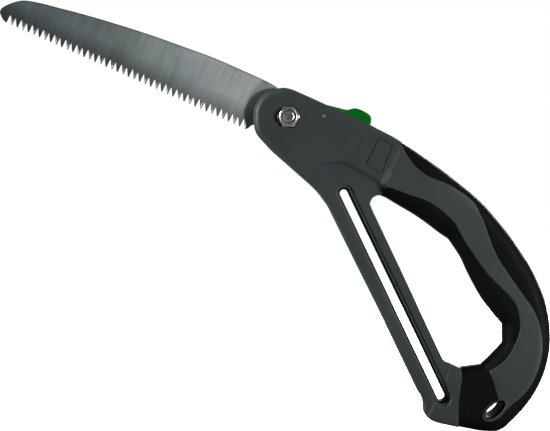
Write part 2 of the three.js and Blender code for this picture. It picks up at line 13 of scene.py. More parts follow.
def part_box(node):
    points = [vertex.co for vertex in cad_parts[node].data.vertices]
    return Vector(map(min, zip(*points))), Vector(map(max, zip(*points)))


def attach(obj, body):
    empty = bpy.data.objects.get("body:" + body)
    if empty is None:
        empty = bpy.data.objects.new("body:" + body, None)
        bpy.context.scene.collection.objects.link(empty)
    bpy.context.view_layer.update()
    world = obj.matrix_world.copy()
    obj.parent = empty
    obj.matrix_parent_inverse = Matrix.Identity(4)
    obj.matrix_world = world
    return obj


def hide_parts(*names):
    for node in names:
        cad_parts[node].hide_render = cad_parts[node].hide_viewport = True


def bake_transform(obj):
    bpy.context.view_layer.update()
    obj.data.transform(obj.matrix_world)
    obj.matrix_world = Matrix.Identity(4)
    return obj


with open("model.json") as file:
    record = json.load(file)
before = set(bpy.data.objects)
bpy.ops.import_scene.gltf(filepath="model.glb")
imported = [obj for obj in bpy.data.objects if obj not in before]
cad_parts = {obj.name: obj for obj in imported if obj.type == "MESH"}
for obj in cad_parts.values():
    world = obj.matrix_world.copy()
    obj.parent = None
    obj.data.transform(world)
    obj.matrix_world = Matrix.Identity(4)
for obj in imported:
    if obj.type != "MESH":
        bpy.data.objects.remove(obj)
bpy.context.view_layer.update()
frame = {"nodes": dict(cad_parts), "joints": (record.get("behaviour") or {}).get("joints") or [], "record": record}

MM = 0.001
PIVOT = Vector(next(j for j in frame["joints"] if j["name"] == "blade_fold")["pos_m"])

# Half thicknesses of the handle, measured from y = 0
HEAD_HALF = 8.0
STRUT_HALF = 6.5
FOOT_HALF = 8.0
GRIP_HALF = 11.55
CORE_MAX = 8.4  # limit of the hard core under the soft layer
BAND_UP = 0.4  # height of the band above the soft layer
SOFT = 2.3  # thickness of the soft layer
SEAM = 0.01  # gap from each half to y = 0
THROUGH = 14  # level beyond the outside of either half

LOCK_PIN = (22.9, 0.6)
SPRING_X = 43
SPRING_BOTTOM, SPRING_TOP = -13.3, -5.2
SCREW_SHAFT_FIT = 1.6  # radius of the screw holes
DEEP_SCREW = 6  # seats above this level pass through the grip
# x, z, level of the seat under the head
SCREWS = [
    (37.4, -21.6, 5.0), (58.5, -37.5, 5.0), (98.6, -51, 8.0), (121, -76.3, 8.0),
    (145.5, -113.5, 8.0), (155, -155, 8.0), (105.6, -195.4, 5.0),
]

# The tooth line, from the tip nearest the pivot to the one nearest the point
FIRST_TIP, LAST_TIP = np.array([-28.6, -7.3]), np.array([-186.3, 62.9])
TEETH = 44
TOOTH_DEPTH = 5.2
TOOTH_RUN = float(np.linalg.norm(LAST_TIP - FIRST_TIP))
TOOTH_DIR = (LAST_TIP - FIRST_TIP) / TOOTH_RUN
BACK_DIR = np.array([TOOTH_DIR[1], -TOOTH_DIR[0]])  # from the teeth towards the blade's back

STRUT_ANGLE = math.radians(-64.4)
STRUT_DIR = np.array([math.cos(STRUT_ANGLE), math.sin(STRUT_ANGLE)])
STRUT_ACROSS = np.array([-math.sin(STRUT_ANGLE), math.cos(STRUT_ANGLE)])


# ------------------------------------------------------------------ plane curves
def strut_at(along, across):
    """A point given along the strut from the pivot, and across it towards +X."""
    return (STRUT_DIR * along + STRUT_ACROSS * across).tolist()


def strut_box(start, end, near, far):
    """Corners of a rectangle lying along the strut."""
    return [strut_at(start, near), strut_at(end, near), strut_at(end, far), strut_at(start, far)]


def polar(radius, degrees):
    angle = math.radians(degrees)
    return [radius * math.cos(angle), radius * math.sin(angle)]


def hexagon(radius, turn=0):
    return [polar(radius, 60 * i + turn) for i in range(6)]


def between(t, start, end, first, last):
    """The point at t on the straight run from first at start to last at end."""
    return (end - t) / (end - start) * first + (t - start) / (end - start) * last


def smooth_run(points, step):
    """A centripetal Catmull-Rom curve through the points, without the last one."""
    points = np.asarray(points, float)
    ends = 2 * points[0] - points[1], 2 * points[-1] - points[-2]
    points = np.vstack([ends[0], points, ends[1]])
    out = []
    for before, start, end, after in zip(points, points[1:], points[2:], points[3:]):
        knot1 = max(np.linalg.norm(start - before) ** 0.5, 1e-6)
        knot2 = knot1 + max(np.linalg.norm(end - start) ** 0.5, 1e-6)
        knot3 = knot2 + max(np.linalg.norm(after - end) ** 0.5, 1e-6)
        count = max(1, int(round(np.linalg.norm(end - start) / step)))
        for k in range(count):
            t = knot1 + (knot2 - knot1) * k / count
            edge1 = between(t, 0, knot1, before, start)
            edge2 = between(t, knot1, knot2, start, end)
            edge3 = between(t, knot2, knot3, end, after)
            mid1 = between(t, 0, knot2, edge1, edge2)
            mid2 = between(t, knot1, knot3, edge2, edge3)
            out.append(between(t, knot1, knot2, mid1, mid2))
    return np.array(out)


def straight(start, end, step):
    """Even points from start to end, without the last one."""
    start, end = np.asarray(start, float), np.asarray(end, float)
    count = max(1, int(round(np.linalg.norm(end - start) / step)))
    return (start + (end - start) * np.linspace(0, 1, count + 1)[:, None])[:-1]


def spline(points, step=0.9, corners=()):
    """An open smooth path through the points, kept sharp at the listed corner indices."""
    cuts = [0, *corners, len(points) - 1]
    parts = []
    for a, b in zip(cuts, cuts[1:]):
        if b - a > 1:
            parts.append(smooth_run(points[a : b + 1], step))
        else:
            parts.append(straight(points[a], points[b], step))
    return np.vstack(parts + [np.array([points[-1]], float)])


def densify(loop, step):
    """A closed polygon with even points added along its sides."""
    return np.vstack([straight(a, b, step) for a, b in zip(loop, np.roll(loop, -1, 0))])


def area(loop):
    x, z = loop[:, 0], loop[:, 1]
    return 0.5 * float(np.sum(x * np.roll(z, -1) - np.roll(x, -1) * z))


def closed_path(*parts):
    """Joins open paths into an anticlockwise loop without repeated points."""
    points = np.vstack([np.asarray(part, float) for part in parts])
    kept = [0]
    for i in range(1, len(points)):
        if np.linalg.norm(points[i] - points[kept[-1]]) > 0.05:
            kept.append(i)
    points = points[kept]
    if np.linalg.norm(points[0] - points[-1]) < 0.05:
        points = points[:-1]
    return points if area(points) > 0 else points[::-1]


def rounded(points, radius, segments=6):
    """A closed polygon with every corner rounded."""
    points = np.asarray(points, float)
    if area(points) < 0:
        points = points[::-1]
    out = []
    for i, corner in enumerate(points):
        back, ahead = points[i - 1] - corner, points[(i + 1) % len(points)] - corner
        back_len, ahead_len = np.linalg.norm(back), np.linalg.norm(ahead)
        back, ahead = back / back_len, ahead / ahead_len
        half = math.acos(max(-1, min(1, float(back @ ahead)))) / 2
        # no rounding takes more than 0.45 of a side
        setback = min(radius / math.tan(half), 0.45 * back_len, 0.45 * ahead_len)
        fitted = setback * math.tan(half)
        bisector = (back + ahead) / np.linalg.norm(back + ahead)
        centre = corner + bisector * math.hypot(fitted, setback)
        start, end = corner + back * setback - centre, corner + ahead * setback - centre
        angle0, angle1 = math.atan2(start[1], start[0]), math.atan2(end[1], end[0])
        while angle1 - angle0 > math.pi:
            angle1 -= 2 * math.pi
        while angle1 - angle0 < -math.pi:
            angle1 += 2 * math.pi
        for k in range(segments + 1):
            angle = angle0 + (angle1 - angle0) * k / segments
            out.append(centre + fitted * np.array([math.cos(angle), math.sin(angle)]))
    return np.array(out)


def ellipse(centre, long_half, short_half, degrees, segments):
    t = np.linspace(0, 2 * math.pi, segments, endpoint=False)
    turn = math.radians(degrees)
    x, z = long_half * np.cos(t), short_half * np.sin(t)
    turned_x = centre[0] + x * math.cos(turn) - z * math.sin(turn)
    turned_z = centre[1] + x * math.sin(turn) + z * math.cos(turn)
    return np.stack([turned_x, turned_z], 1)


def circle(centre, radius, segments):
    return ellipse(centre, radius, radius, 0, segments)


def nearest(points, line, closed):
    """Distance to a polyline, and the side: 1 to the left of its direction, otherwise -1."""
    line = np.asarray(line, float)
    start = line if closed else line[:-1]
    end = np.roll(line, -1, 0) if closed else line[1:]
    run = end - start
    run_sq = np.maximum((run**2).sum(1), 1e-12)
    middle, half = (start + end) / 2, np.sqrt(run_sq) / 2
    dist, side = np.empty(len(points)), np.empty(len(points))
    cell = np.floor(points / 11.0).astype(int)
    key = cell[:, 0] * 100003 + cell[:, 1]
    order = np.argsort(key, kind="stable")
    for ids in np.split(order, np.flatnonzero(np.diff(key[order])) + 1):
        # a cell of points meets only the segments that can be nearest to one of them
        group = points[ids]
        centre = group.mean(0)
        reach = np.sqrt(((group - centre) ** 2).sum(1).max())
        away = np.sqrt(((middle - centre) ** 2).sum(1))
        use = np.flatnonzero(away <= away.min() + 2 * reach + half)
        run_x, run_z = run[use].T
        offset = group[:, None, :] - start[use][None]
        x, z = offset[..., 0], offset[..., 1]
        t = np.clip((x * run_x + z * run_z) / run_sq[use], 0, 1)
        dist_sq = (x - t * run_x) ** 2 + (z - t * run_z) ** 2
        k = dist_sq.argmin(1)
        row = np.arange(len(k))
        dist[ids] = np.sqrt(dist_sq[row, k])
        side[ids] = np.where(run_x[k] * z[row, k] - run_z[k] * x[row, k] >= 0, 1, -1)
    return dist, side


def from_line(points, line):
    return nearest(points, line, closed=False)[0]


def from_loop(points, loop):
    return nearest(points, loop, closed=True)[0]


def signed(points, line):
    """Distance to an open line, positive to its left."""
    dist, side = nearest(points, line, closed=False)
    return dist * side


def inside(points, loop):
    x, z = points[:, 0], points[:, 1]
    out = np.zeros(len(points), bool)
    for (x1, z1), (x2, z2) in zip(loop, np.roll(loop, -1, 0)):
        if z1 != z2:
            out ^= ((z1 > z) != (z2 > z)) & (x < (x2 - x1) * (z - z1) / (z2 - z1) + x1)
    return out


def depth_in(points, loop):
    """Distance to a closed loop, positive inside."""
    dist = from_loop(points, loop)
    return np.where(inside(points, loop), dist, -dist)


def left_normals(line, closed=False):
    if closed:
        tangent = np.roll(line, -1, 0) - np.roll(line, 1, 0)
    else:
        tangent = np.gradient(line, axis=0)
    tangent /= np.maximum(np.linalg.norm(tangent, axis=1, keepdims=True), 1e-9)
    return np.stack([-tangent[:, 1], tangent[:, 0]], 1)


def shifted(line, offset):
    """Moves an open path to its left."""
    return line + left_normals(line) * offset


def beside(line, offsets, closed=False):
    """Rows of points left of a line, dropped where they come nearer it than they should."""
    normals = left_normals(line, closed)
    rows = []
    for offset in offsets:
        row = line + normals * offset
        if abs(offset) > 0.2:
            row = row[nearest(row, line, closed)[0] > abs(offset) * 0.9]
        rows.append(row)
    return np.vstack(rows)


def beside_loop(loop, offsets):
    """Rows beside an anticlockwise loop, positive offsets inside it."""
    return beside(loop, offsets, closed=True)


def grid(loop, step):
    """A triangular grid over the box around a loop."""
    low, high = loop.min(0), loop.max(0)
    xs = np.arange(low[0], high[0], step)
    zs = np.arange(low[1], high[1], step * 0.866)
    X, Z = np.meshgrid(xs, zs)
    X = X + (np.arange(len(zs)) % 2)[:, None] * step / 2
    return np.stack([X.ravel(), Z.ravel()], 1)


def smooth(t):
    t = np.clip(t, 0, 1)
    return t * t * (3 - 2 * t)


def roll(dist, radius):
    """How far a rounded edge lies below the face at a distance from the edge."""
    t = np.clip(1 - dist / radius, 0, 1)
    return radius * (1 - np.sqrt(np.maximum(1 - t * t, 0)))


# ------------------------------------------------------------------ solids from plane regions
def thin_out(points, spacing):
    """Drops points nearer than their own spacing to a point already kept."""
    cell = 0.5
    table, out = {}, []

    def crowded(x, z, gap):
        cell_x, cell_z = int(x // cell), int(z // cell)
        k = int(gap // cell) + 1
        for i in range(cell_x - k, cell_x + k + 1):
            for j in range(cell_z - k, cell_z + k + 1):
                for other in table.get((i, j), ()):
                    if (other[0] - x) ** 2 + (other[1] - z) ** 2 < gap * gap:
                        return True
        return False

    for point, gap in zip(points, spacing):
        x, z = float(point[0]), float(point[1])
        if not crowded(x, z, gap):
            table.setdefault((int(x // cell), int(z // cell)), []).append((x, z))
            out.append((x, z))
    return np.array(out).reshape(-1, 2)


def fill_points(loops, seeds, margins):
    """Inner points for a region: loops[0] is its outline, the others are holes.

    Seeds are (points, spacing); margins are the least distances to each loop.
    """
    points = np.vstack([rows for rows, _ in seeds])
    spacing = np.concatenate([np.full(len(rows), gap) for rows, gap in seeds])
    keep = inside(points, loops[0])
    for hole in loops[1:]:
        keep &= ~inside(points, hole)
    for loop, margin in zip(loops, margins):
        keep &= from_loop(points, loop) > margin
    return thin_out(points[keep], spacing[keep])


def triangulate(loops, extra=()):
    """Delaunay triangles of a region: loops[0] is its outline, the others are holes."""
    points, edges = [], []
    for loop in loops:
        first, count = len(points), len(loop)
        points += loop.tolist()
        edges += [(first + i, first + (i + 1) % count) for i in range(count)]
    points += np.asarray(extra).tolist()
    flat, _, faces, *_ = delaunay_2d_cdt([Vector(p) for p in points], edges, [], 0, 1e-7)
    flat = np.array([[p.x, p.y] for p in flat])
    tris = np.array([face for face in faces if len(face) == 3], int)
    centres = flat[tris].mean(1)
    keep = inside(centres, loops[0])
    for hole in loops[1:]:
        keep &= ~inside(centres, hole)
    tris = tris[keep]
    a, b, c = flat[tris[:, 0]], flat[tris[:, 1]], flat[tris[:, 2]]
    cross = (b[:, 0] - a[:, 0]) * (c[:, 1] - a[:, 1]) - (b[:, 1] - a[:, 1]) * (c[:, 0] - a[:, 0])
    tris = tris[np.abs(cross) > 1e-9]
    cross = cross[np.abs(cross) > 1e-9]
    tris[cross < 0] = tris[cross < 0][:, [0, 2, 1]]
    used = np.unique(tris)
    remap = -np.ones(len(flat), int)
    remap[used] = np.arange(len(used))
    return flat[used], remap[tris]


def link_mesh(name, verts, faces):
    mesh = bpy.data.meshes.new(name)
    mesh.from_pydata(verts, [], faces)
    mesh.update()
    obj = bpy.data.objects.new(name, mesh)
    bpy.context.scene.collection.objects.link(obj)
    return obj


def mesh_object(name, verts, faces):
    """Links a mesh whose vertices are given in millimetres from the pivot."""
    verts = np.asarray(verts, float) * MM + np.array(PIVOT)
    return link_mesh(name, verts.tolist(), faces)


def solid(name, flat, tris, high, low, rear=False, levels=()):
    """A closed solid over triangles in the XZ plane, from y = -high to y = -low.

    rear mirrors it to +Y; levels add rings down the walls at these fractions of the height.
    """
    count = len(flat)
    edges = np.vstack([tris[:, [0, 1]], tris[:, [1, 2]], tris[:, [2, 0]]])
    forward = edges[:, 0] * count + edges[:, 1]
    backward = edges[:, 1] * count + edges[:, 0]
    border = edges[~np.isin(forward, backward)]
    top = np.column_stack([flat[:, 0], np.broadcast_to(-high, count), flat[:, 1]])
    bottom = np.column_stack([flat[:, 0], np.broadcast_to(-low, count), flat[:, 1]])
    verts = [top, bottom]
    faces = tris.tolist() + (tris[:, [0, 2, 1]] + count).tolist()
    ids = np.unique(border)
    place = -np.ones(count, int)
    place[ids] = np.arange(len(ids))
    rings = [ids]
    for i, level in enumerate(levels):
        verts.append(top[ids] * (1 - level) + bottom[ids] * level)
        rings.append(2 * count + i * len(ids) + np.arange(len(ids)))
    rings.append(ids + count)
    start, end = place[border[:, 0]], place[border[:, 1]]
    for upper, lower in zip(rings, rings[1:]):
        faces += np.stack([upper[end], upper[start], lower[start], lower[end]], 1).tolist()
    verts = np.vstack(verts)
    if rear:
        verts[:, 1] *= -1
        faces = [face[::-1] for face in faces]
    return mesh_object(name, verts, faces)


def prism(loop, y_high, y_low, name="tool"):
    """A plain prism over a loop."""
    loop = np.asarray(loop, float)
    flat, tris = triangulate([loop if area(loop) > 0 else loop[::-1]])
    return solid(name, flat, tris, -y_low, -y_high)


def half_prism(rear, loop, high, low=-1):
    """A prism between two half-thickness levels of the front or rear half."""
    return prism(loop, high, low) if rear else prism(loop, -low, -high)


def face_outward(obj):
    bm = bmesh.new()
    bm.from_mesh(obj.data)
    bmesh.ops.recalc_face_normals(bm, faces=bm.faces)
    if bm.calc_volume(signed=True) < 0:
        bmesh.ops.reverse_faces(bm, faces=bm.faces)
    bm.to_mesh(obj.data)
    bm.free()


def lathe(name, centre, profile, sides=96):
    """A solid turned about a line parallel to Y.

    The profile is [radius, y]; one that starts off the axis closes on itself.
    """
    verts, rows = [], []
    for radius, y in profile:
        first = len(verts)
        if radius < 1e-9:
            verts.append((centre[0], y, centre[1]))
            rows.append([first] * sides)
            continue
        for i in range(sides):
            angle = 2 * math.pi * (i + 0.37) / sides  # 0.37 of a side turns the ring off the axes
            x, z = centre[0] + radius * math.cos(angle), centre[1] + radius * math.sin(angle)
            verts.append((x, y, z))
        rows.append(list(range(first, first + sides)))
    faces = []
    next_rows = rows[1:] + rows[:1] if profile[0][0] > 1e-9 else rows[1:]
    for row, after in zip(rows, next_rows):
        for i in range(sides):
            j = (i + 1) % sides
            face = tuple(dict.fromkeys((row[i], row[j], after[j], after[i])))
            if len(face) > 2:
                faces.append(face)
    obj = mesh_object(name, verts, faces)
    face_outward(obj)
    return obj


def remove(obj):
    mesh = obj.data
    bpy.data.objects.remove(obj)
    bpy.data.meshes.remove(mesh)


def boolean(target, *tools, operation="DIFFERENCE"):
    """Applies each tool to the target in turn and removes it."""
    for tool in tools:
        modifier = target.modifiers.new("b", "BOOLEAN")
        modifier.operation = operation
        modifier.object = tool
        modifier.solver = "MANIFOLD"
        depsgraph = bpy.context.evaluated_depsgraph_get()
        mesh = bpy.data.meshes.new_from_object(target.evaluated_get(depsgraph))
        old = target.data
        target.modifiers.clear()
        target.data = mesh
        mesh.name = target.name
        bpy.data.meshes.remove(old)
        remove(tool)


def bundle(*tools):
    """Puts cutters that do not touch one another into one mesh."""
    verts, faces = [], []
    for tool in tools:
        first = len(verts)
        verts += [tuple(vertex.co) for vertex in tool.data.vertices]
        faces += [tuple(i + first for i in face.vertices) for face in tool.data.polygons]
        remove(tool)
    return link_mesh("tool", verts, faces)


def clean(obj, angle):
    """Merges doubled vertices and marks edges sharper than the angle in degrees."""
    bm = bmesh.new()
    bm.from_mesh(obj.data)
    bmesh.ops.remove_doubles(bm, verts=bm.verts, dist=2e-6)
    bmesh.ops.dissolve_degenerate(bm, edges=bm.edges, dist=1e-6)
    bm.to_mesh(obj.data)
    bm.free()
    obj.data.shade_smooth()
    obj.data.set_sharp_from_angle(angle=math.radians(angle))


def paint(obj, material):
    obj.data.materials.clear()
    obj.data.materials.append(material)


def finish(obj, angle, material, body, slot, *nodes):
    """Cleans and paints a piece, hangs it under its body's empty and hides the given CAD nodes; the slot is not
    used.
    """
    clean(obj, angle)
    paint(obj, material)
    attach(obj, body)
    if nodes:
        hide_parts(*nodes)


# ------------------------------------------------------------------ materials
class Shader:
    """A node tree with short ways to add nodes. An input is a number, a tuple or an output."""

    def __init__(self, tree):
        self.tree = tree

    def feed(self, node, inputs):
        for key, value in inputs.items():
            socket = node.inputs[key]
            if isinstance(value, bpy.types.NodeSocket):
                self.tree.links.new(value, socket)
            elif socket.type == "RGBA":
                socket.default_value = (*value, 1)
            else:
                socket.default_value = value

    def node(self, kind, inputs={}, **settings):
        node = self.tree.nodes.new("ShaderNode" + kind)
        for key, value in settings.items():
            setattr(node, key, value)
        self.feed(node, inputs)
        return node

    def coords(self, scale=(1, 1, 1), rotation=(0, 0, 0)):
        inputs = {"Vector": self.object_point(), "Scale": scale, "Rotation": rotation}
        return self.node("Mapping", inputs).outputs["Vector"]

    def object_point(self):
        return self.node("TexCoord").outputs["Object"]

    def noise(self, vector, scale, detail=3.0, roughness=0.6):
        inputs = {"Vector": vector, "Scale": scale, "Detail": detail, "Roughness": roughness}
        return self.node("TexNoise", inputs).outputs["Fac"]

    def ramp(self, factor, stops):
        """Stops are (position, colour)."""
        node = self.node("ValToRGB", {"Fac": factor})
        elements = node.color_ramp.elements
        while len(elements) < len(stops):
            elements.new(0.5)
        for element, (position, colour) in zip(elements, stops):
            element.position = position
            element.color = (*colour, 1)
        return node.outputs["Color"]

    def remap(self, value, source, target):
        """Carries the source range to the target range, clamped."""
        inputs = {"Value": value, "From Min": source[0], "From Max": source[1]}
        inputs.update({"To Min": target[0], "To Max": target[1]})
        return self.node("MapRange", inputs).outputs["Result"]

    def mix(self, factor, first, second, mode="MIX"):
        inputs = {0: factor, 6: first, 7: second}
        return self.node("Mix", inputs, data_type="RGBA", blend_type=mode).outputs[2]

    def math(self, operation, *values):
        return self.node("Math", dict(enumerate(values)), operation=operation).outputs[0]

    def multiply(self, first, second):
        return self.math("MULTIPLY", first, second)

    def vector(self, operation, *values, output="Value"):
        node = self.node("VectorMath", dict(enumerate(values)), operation=operation)
        return node.outputs[output]

    def tone(self, colour, factor):
        """A colour times a single factor."""
        grey = self.node("CombineColor", {0: factor, 1: factor, 2: factor}).outputs[0]
        return self.mix(1.0, colour, grey, "MULTIPLY")

    def bump(self, height, strength, distance, **normal):
        inputs = {"Height": height, "Strength": strength, "Distance": distance, **normal}
        return self.node("Bump", inputs).outputs["Normal"]


def new_material(name):
    material = bpy.data.materials.new(name)
    material.use_nodes = True
    tree = material.node_tree
    return material, Shader(tree), tree.nodes["Principled BSDF"]


def scaled(colour, factor):
    return tuple(channel * factor for channel in colour)


MIDDLE = (0.3, 0.7)  # the part of a noise that is stretched to the full range


def moulded(name, colour, roughness, grain, specular=0.5, variation=0.12, painted_shade=None):
    """Moulded plastic: fine grain and faint variation of colour.

    Grain is the bump height in metres; the last argument, (start z, end z, tone at the end), is painted shade: it
    darkens the colour downwards where the light falls off.
    """
    material, shader, principled = new_material(name)
    point = shader.coords()
    broad = shader.noise(point, scale=28.0, roughness=0.55)
    medium = shader.noise(point, scale=420.0)
    fine = shader.noise(point, scale=3400.0, detail=2.0)
    dark, light = scaled(colour, 1 - variation), scaled(colour, 1 + variation)
    base = shader.ramp(broad, list(zip(MIDDLE, (dark, light))))
    base = shader.mix(shader.multiply(fine, 0.35), base, scaled(colour, 1.45))
    # painted shade: the colour darkens downwards, standing in for the light falling off
    if painted_shade:
        start, end, tone = painted_shade
        height = shader.node("SeparateXYZ", {0: point}).outputs[2]
        base = shader.tone(base, shader.remap(height, (start, end), (1.0, tone)))
    surface = shader.bump(fine, strength=0.55, distance=grain)
    surface = shader.bump(medium, strength=0.25, distance=grain * 2.5, Normal=surface)
    shader.feed(principled, {
        "Base Color": base,
        "Roughness": shader.remap(medium, MIDDLE, (roughness - 0.06, roughness + 0.07)),
        "Specular IOR Level": specular,
        "Normal": surface,
    })
    return material


def metal(name, colour, roughness, scratch=0.15):
    """Plated or plain steel with fine scratches; scratch is the bump strength."""
    material, shader, principled = new_material(name)
    broad = shader.noise(shader.coords(), scale=160.0, detail=4.0)
    stops = list(zip(MIDDLE, (scaled(colour, 1 - 0.1), scaled(colour, 1 + 0.1))))
    stretched = shader.coords(scale=(2500, 2500, 220), rotation=(0.5, 0.3, 0))
    scratches = shader.noise(stretched, scale=1.0)
    shader.feed(principled, {
        "Base Color": shader.ramp(broad, stops),
        "Metallic": 1.0,
        "Roughness": shader.remap(scratches, MIDDLE, (roughness * 0.75, roughness * 1.35)),
        "Normal": shader.bump(scratches, strength=scratch, distance=0.00002),
    })
    return material


# painted shade: the shell darkens towards the foot for the light falling off there
shell_grey = moulded("mat_shell_grey", (0.0200, 0.0253, 0.0258), roughness=0.5, grain=0.00005,
                     specular=0.1, painted_shade=(-0.080, -0.136, 0.66))
soft_black = moulded("mat_soft_black", (0.0014, 0.0017, 0.0016), roughness=0.6, grain=0.00006,
                     specular=0.035, variation=0.2)
channel_black = moulded("mat_channel_black", (0.0015, 0.0015, 0.0015), roughness=0.6,
                        grain=0.00003, specular=0.06)
button_green = moulded("mat_button_green", (0.0002, 0.076, 0.0050), roughness=0.3,
                       grain=0.000012, specular=0.04, variation=0.08)
zinc = metal("mat_zinc_plate", (0.46, 0.47, 0.46), roughness=0.27, scratch=0.06)
plain_steel = metal("mat_plain_steel", (0.42, 0.43, 0.44), roughness=0.36)
pin_steel = metal("mat_pin_end", (0.20, 0.21, 0.21), roughness=0.5)
nut_plate = metal("mat_nut_plate", (0.40, 0.41, 0.40), roughness=0.33, scratch=0.03)
nylon = moulded("mat_nylon", (0.050, 0.056, 0.053), roughness=0.45, grain=0.00002)

BLADE_BACK = [
    (-190.5, 69.4), (-189.9, 71.4), (-187.6, 73.3), (-182.4, 75.7), (-175.1, 77.3),
    (-166.5, 76.2), (-150.7, 72.3), (-130.9, 67), (-111.1, 61.1), (-90.6, 54.5), (-69.5, 47),
    (-48.4, 39.2), (-31.9, 32.0), (-13.4, 23.5), (-7.6, 20.2),
]
# painted shading: the blade's colour falls from the pivot end to the point as the light does; position from the
# tooth line's start to the point, colour
BLADE_PAINTED_SHADING = [
    (0, (0.254, 0.275, 0.278)), (0.156, (0.233, 0.255, 0.258)), (0.25, (0.202, 0.225, 0.228)),
    (0.417, (0.150, 0.174, 0.173)), (0.54, (0.105, 0.121, 0.122)), (0.758, (0.086, 0.103, 0.111)),
    (0.91, (0.061, 0.077, 0.083)), (1, (0.053, 0.069, 0.076)),
]


def along_and_deep(points):
    """Distances from the first tip along the tooth line, and from the line towards the back."""
    return (points - FIRST_TIP) @ TOOTH_DIR, (points - FIRST_TIP) @ BACK_DIR


def back_tone(shader, along, deep):
    """Darkens the blade along its back."""
    span, scale = 0.17, 0.08  # metres along and across the blade that the curve covers
    back_along, back_deep = along_and_deep(spline(BLADE_BACK, step=2.0)[:-2])
    order = np.argsort(back_along)
    stations = np.linspace(0.0, span, 30)
    heights = np.interp(stations, back_along[order] * MM, back_deep[order] * MM) / scale
    curve = shader.node("FloatCurve", {"Value": shader.remap(along, (0.0, span), (0.0, 1.0))})
    points = curve.mapping.curves[0].points
    points[0].location = (0.0, heights[0])
    points[1].location = (1.0, heights[-1])
    for station, height in zip(stations[1:-1], heights[1:-1]):
        points.new(station / span, height)
    curve.mapping.update()
    inward = shader.math("SUBTRACT", shader.multiply(curve.outputs[0], scale), deep)
    return shader.remap(inward, (0.0003, 0.0011), (0.40, 1.0))


def blade_material(name, bevel=False):
    """Ground steel with fine lines across the blade, with painted shading that darkens it towards the point."""
    material, shader, principled = new_material(name)
    point = shader.object_point()
    first_tip = PIVOT + Vector((FIRST_TIP[0] * MM, 0, FIRST_TIP[1] * MM))
    offset = shader.vector("SUBTRACT", point, first_tip, output="Vector")
    along = shader.vector("DOT_PRODUCT", offset, (TOOTH_DIR[0], 0, TOOTH_DIR[1]))
    deep = shader.vector("DOT_PRODUCT", offset, (BACK_DIR[0], 0, BACK_DIR[1]))

    def lines(along_scale, deep_scale, shear, detail=3.0):
        sheared = shader.math("ADD", along, shader.multiply(deep, shear))
        stretched = shader.node("CombineXYZ", {
            0: shader.multiply(sheared, along_scale),
            1: shader.multiply(deep, deep_scale),
        }).outputs[0]
        return shader.noise(stretched, scale=1.0, detail=detail)

    fine = lines(along_scale=2600, deep_scale=55, shear=0.04)
    medium = lines(along_scale=950, deep_scale=30, shear=-0.05)
    wide = lines(along_scale=110, deep_scale=14, shear=0.0, detail=2.0)
    cloud = lines(along_scale=38, deep_scale=45, shear=0.3, detail=2.0)
    # painted shading: the base colour darkens towards the point
    slanted = shader.math("SUBTRACT", along, shader.multiply(deep, 0.9))
    base = shader.ramp(shader.remap(slanted, (-0.02, 0.175), (0.0, 1.0)), BLADE_PAINTED_SHADING)
    grain = shader.math("ADD", shader.multiply(fine, 0.6), shader.multiply(medium, 0.4))
    wide_tone = shader.remap(wide, (0.25, 0.75), (0.88, 1.12))
    cloud_tone = shader.remap(cloud, MIDDLE, (0.9, 1.1))
    grain_tone = shader.remap(grain, MIDDLE, (0.72, 1.28))
    tone = shader.multiply(grain_tone, shader.multiply(wide_tone, cloud_tone))
    if bevel:
        base = shader.mix(0.5, base, (0.075, 0.082, 0.082))
        tone = shader.multiply(tone, 1.0)  # overall tone of the bevels
        roughness = (0.52, 0.68)
    else:
        tone = shader.multiply(tone, shader.remap(deep, (0.002, 0.016), (0.35, 1.0)))
        tone = shader.multiply(tone, back_tone(shader, along, deep))
        roughness = (0.34, 0.5)
    # painted shadow: a darker ring round the pivot, where the head casts its shadow on the blade
    away = shader.vector("DISTANCE", point, PIVOT + Vector((-0.003, 0, 0.004)))
    tone = shader.multiply(tone, shader.remap(away, (0.0238, 0.0262), (0.62, 1.0)))
    shader.feed(principled, {
        "Base Color": shader.tone(base, tone),
        "Metallic": 0.3,
        "Roughness": shader.remap(medium, MIDDLE, roughness),
        "Normal": shader.bump(grain, strength=0.3, distance=0.00002),
    })
    return material


blade_steel = blade_material("mat_blade_ground")
tooth_steel = blade_material("mat_tooth_bevel", bevel=True)

# ------------------------------------------------------------------ handle outlines, (x, z)
head_top = spline([
    (-22.9, -1.5), (-22.5, 5.3), (-20.9, 9.1), (-18.5, 12.9), (-14.7, 16.3), (-9.9, 18.2),
    (-3.1, 19.25), (2.6, 18), (8, 15.7), (13.4, 13.3), (25.7, 7.7), (36.7, 3.0), (43.9, -0.6),
    (54, -5.3), (57.4, -7.2), (62.7, -9.9), (67.9, -12.6), (73.4, -15.8),
])
# from the left end of the head down the strut to the foot
left_edge = spline([
    (-22.9, -1.5), (-22.5, -6.2), (-21.3, -9.9), (-19.2, -12.9), (-15.8, -16.6), (-11.9, -20.9),
    (-7.5, -24.9), (1.4, -32.7), (10.1, -40.5), (14.5, -44.4), (18.7, -48.6), (22.3, -53.2),
    (25.7, -58), (28.4, -63.2), (41.4, -89.7), (57.1, -121.4), (72.4, -153.3), (82.6, -174.4),
    (85.1, -179.6), (88.0, -184.4), (89.0, -188.2), (89.2, -193.0), (90.6, -196.2),
    (94.0, -198.8), (98.6, -200.5), (106.0, -202.0),
])
grip_outer = spline([
    (75.2, -16.9), (78.3, -18.9), (83.3, -22.1), (93.1, -28.9), (102.8, -35.8), (112.1, -43.1),
    (121.3, -50.6), (129.9, -58.8), (137.6, -67.8), (145.1, -77.1), (151.8, -86.9),
    (158.3, -96.8), (163.6, -107.4), (168, -118.4), (170.9, -130), (172.1, -141.8),
    (171.5, -153.6), (169, -165.1), (164.5, -176.2), (158.4, -186.3), (150.7, -195.4),
    (142.3, -203.7), (137, -206.2), (131.1, -206.4), (125.2, -205.9), (119.3, -204.9),
    (112.2, -203.5),
], corners=(21,))
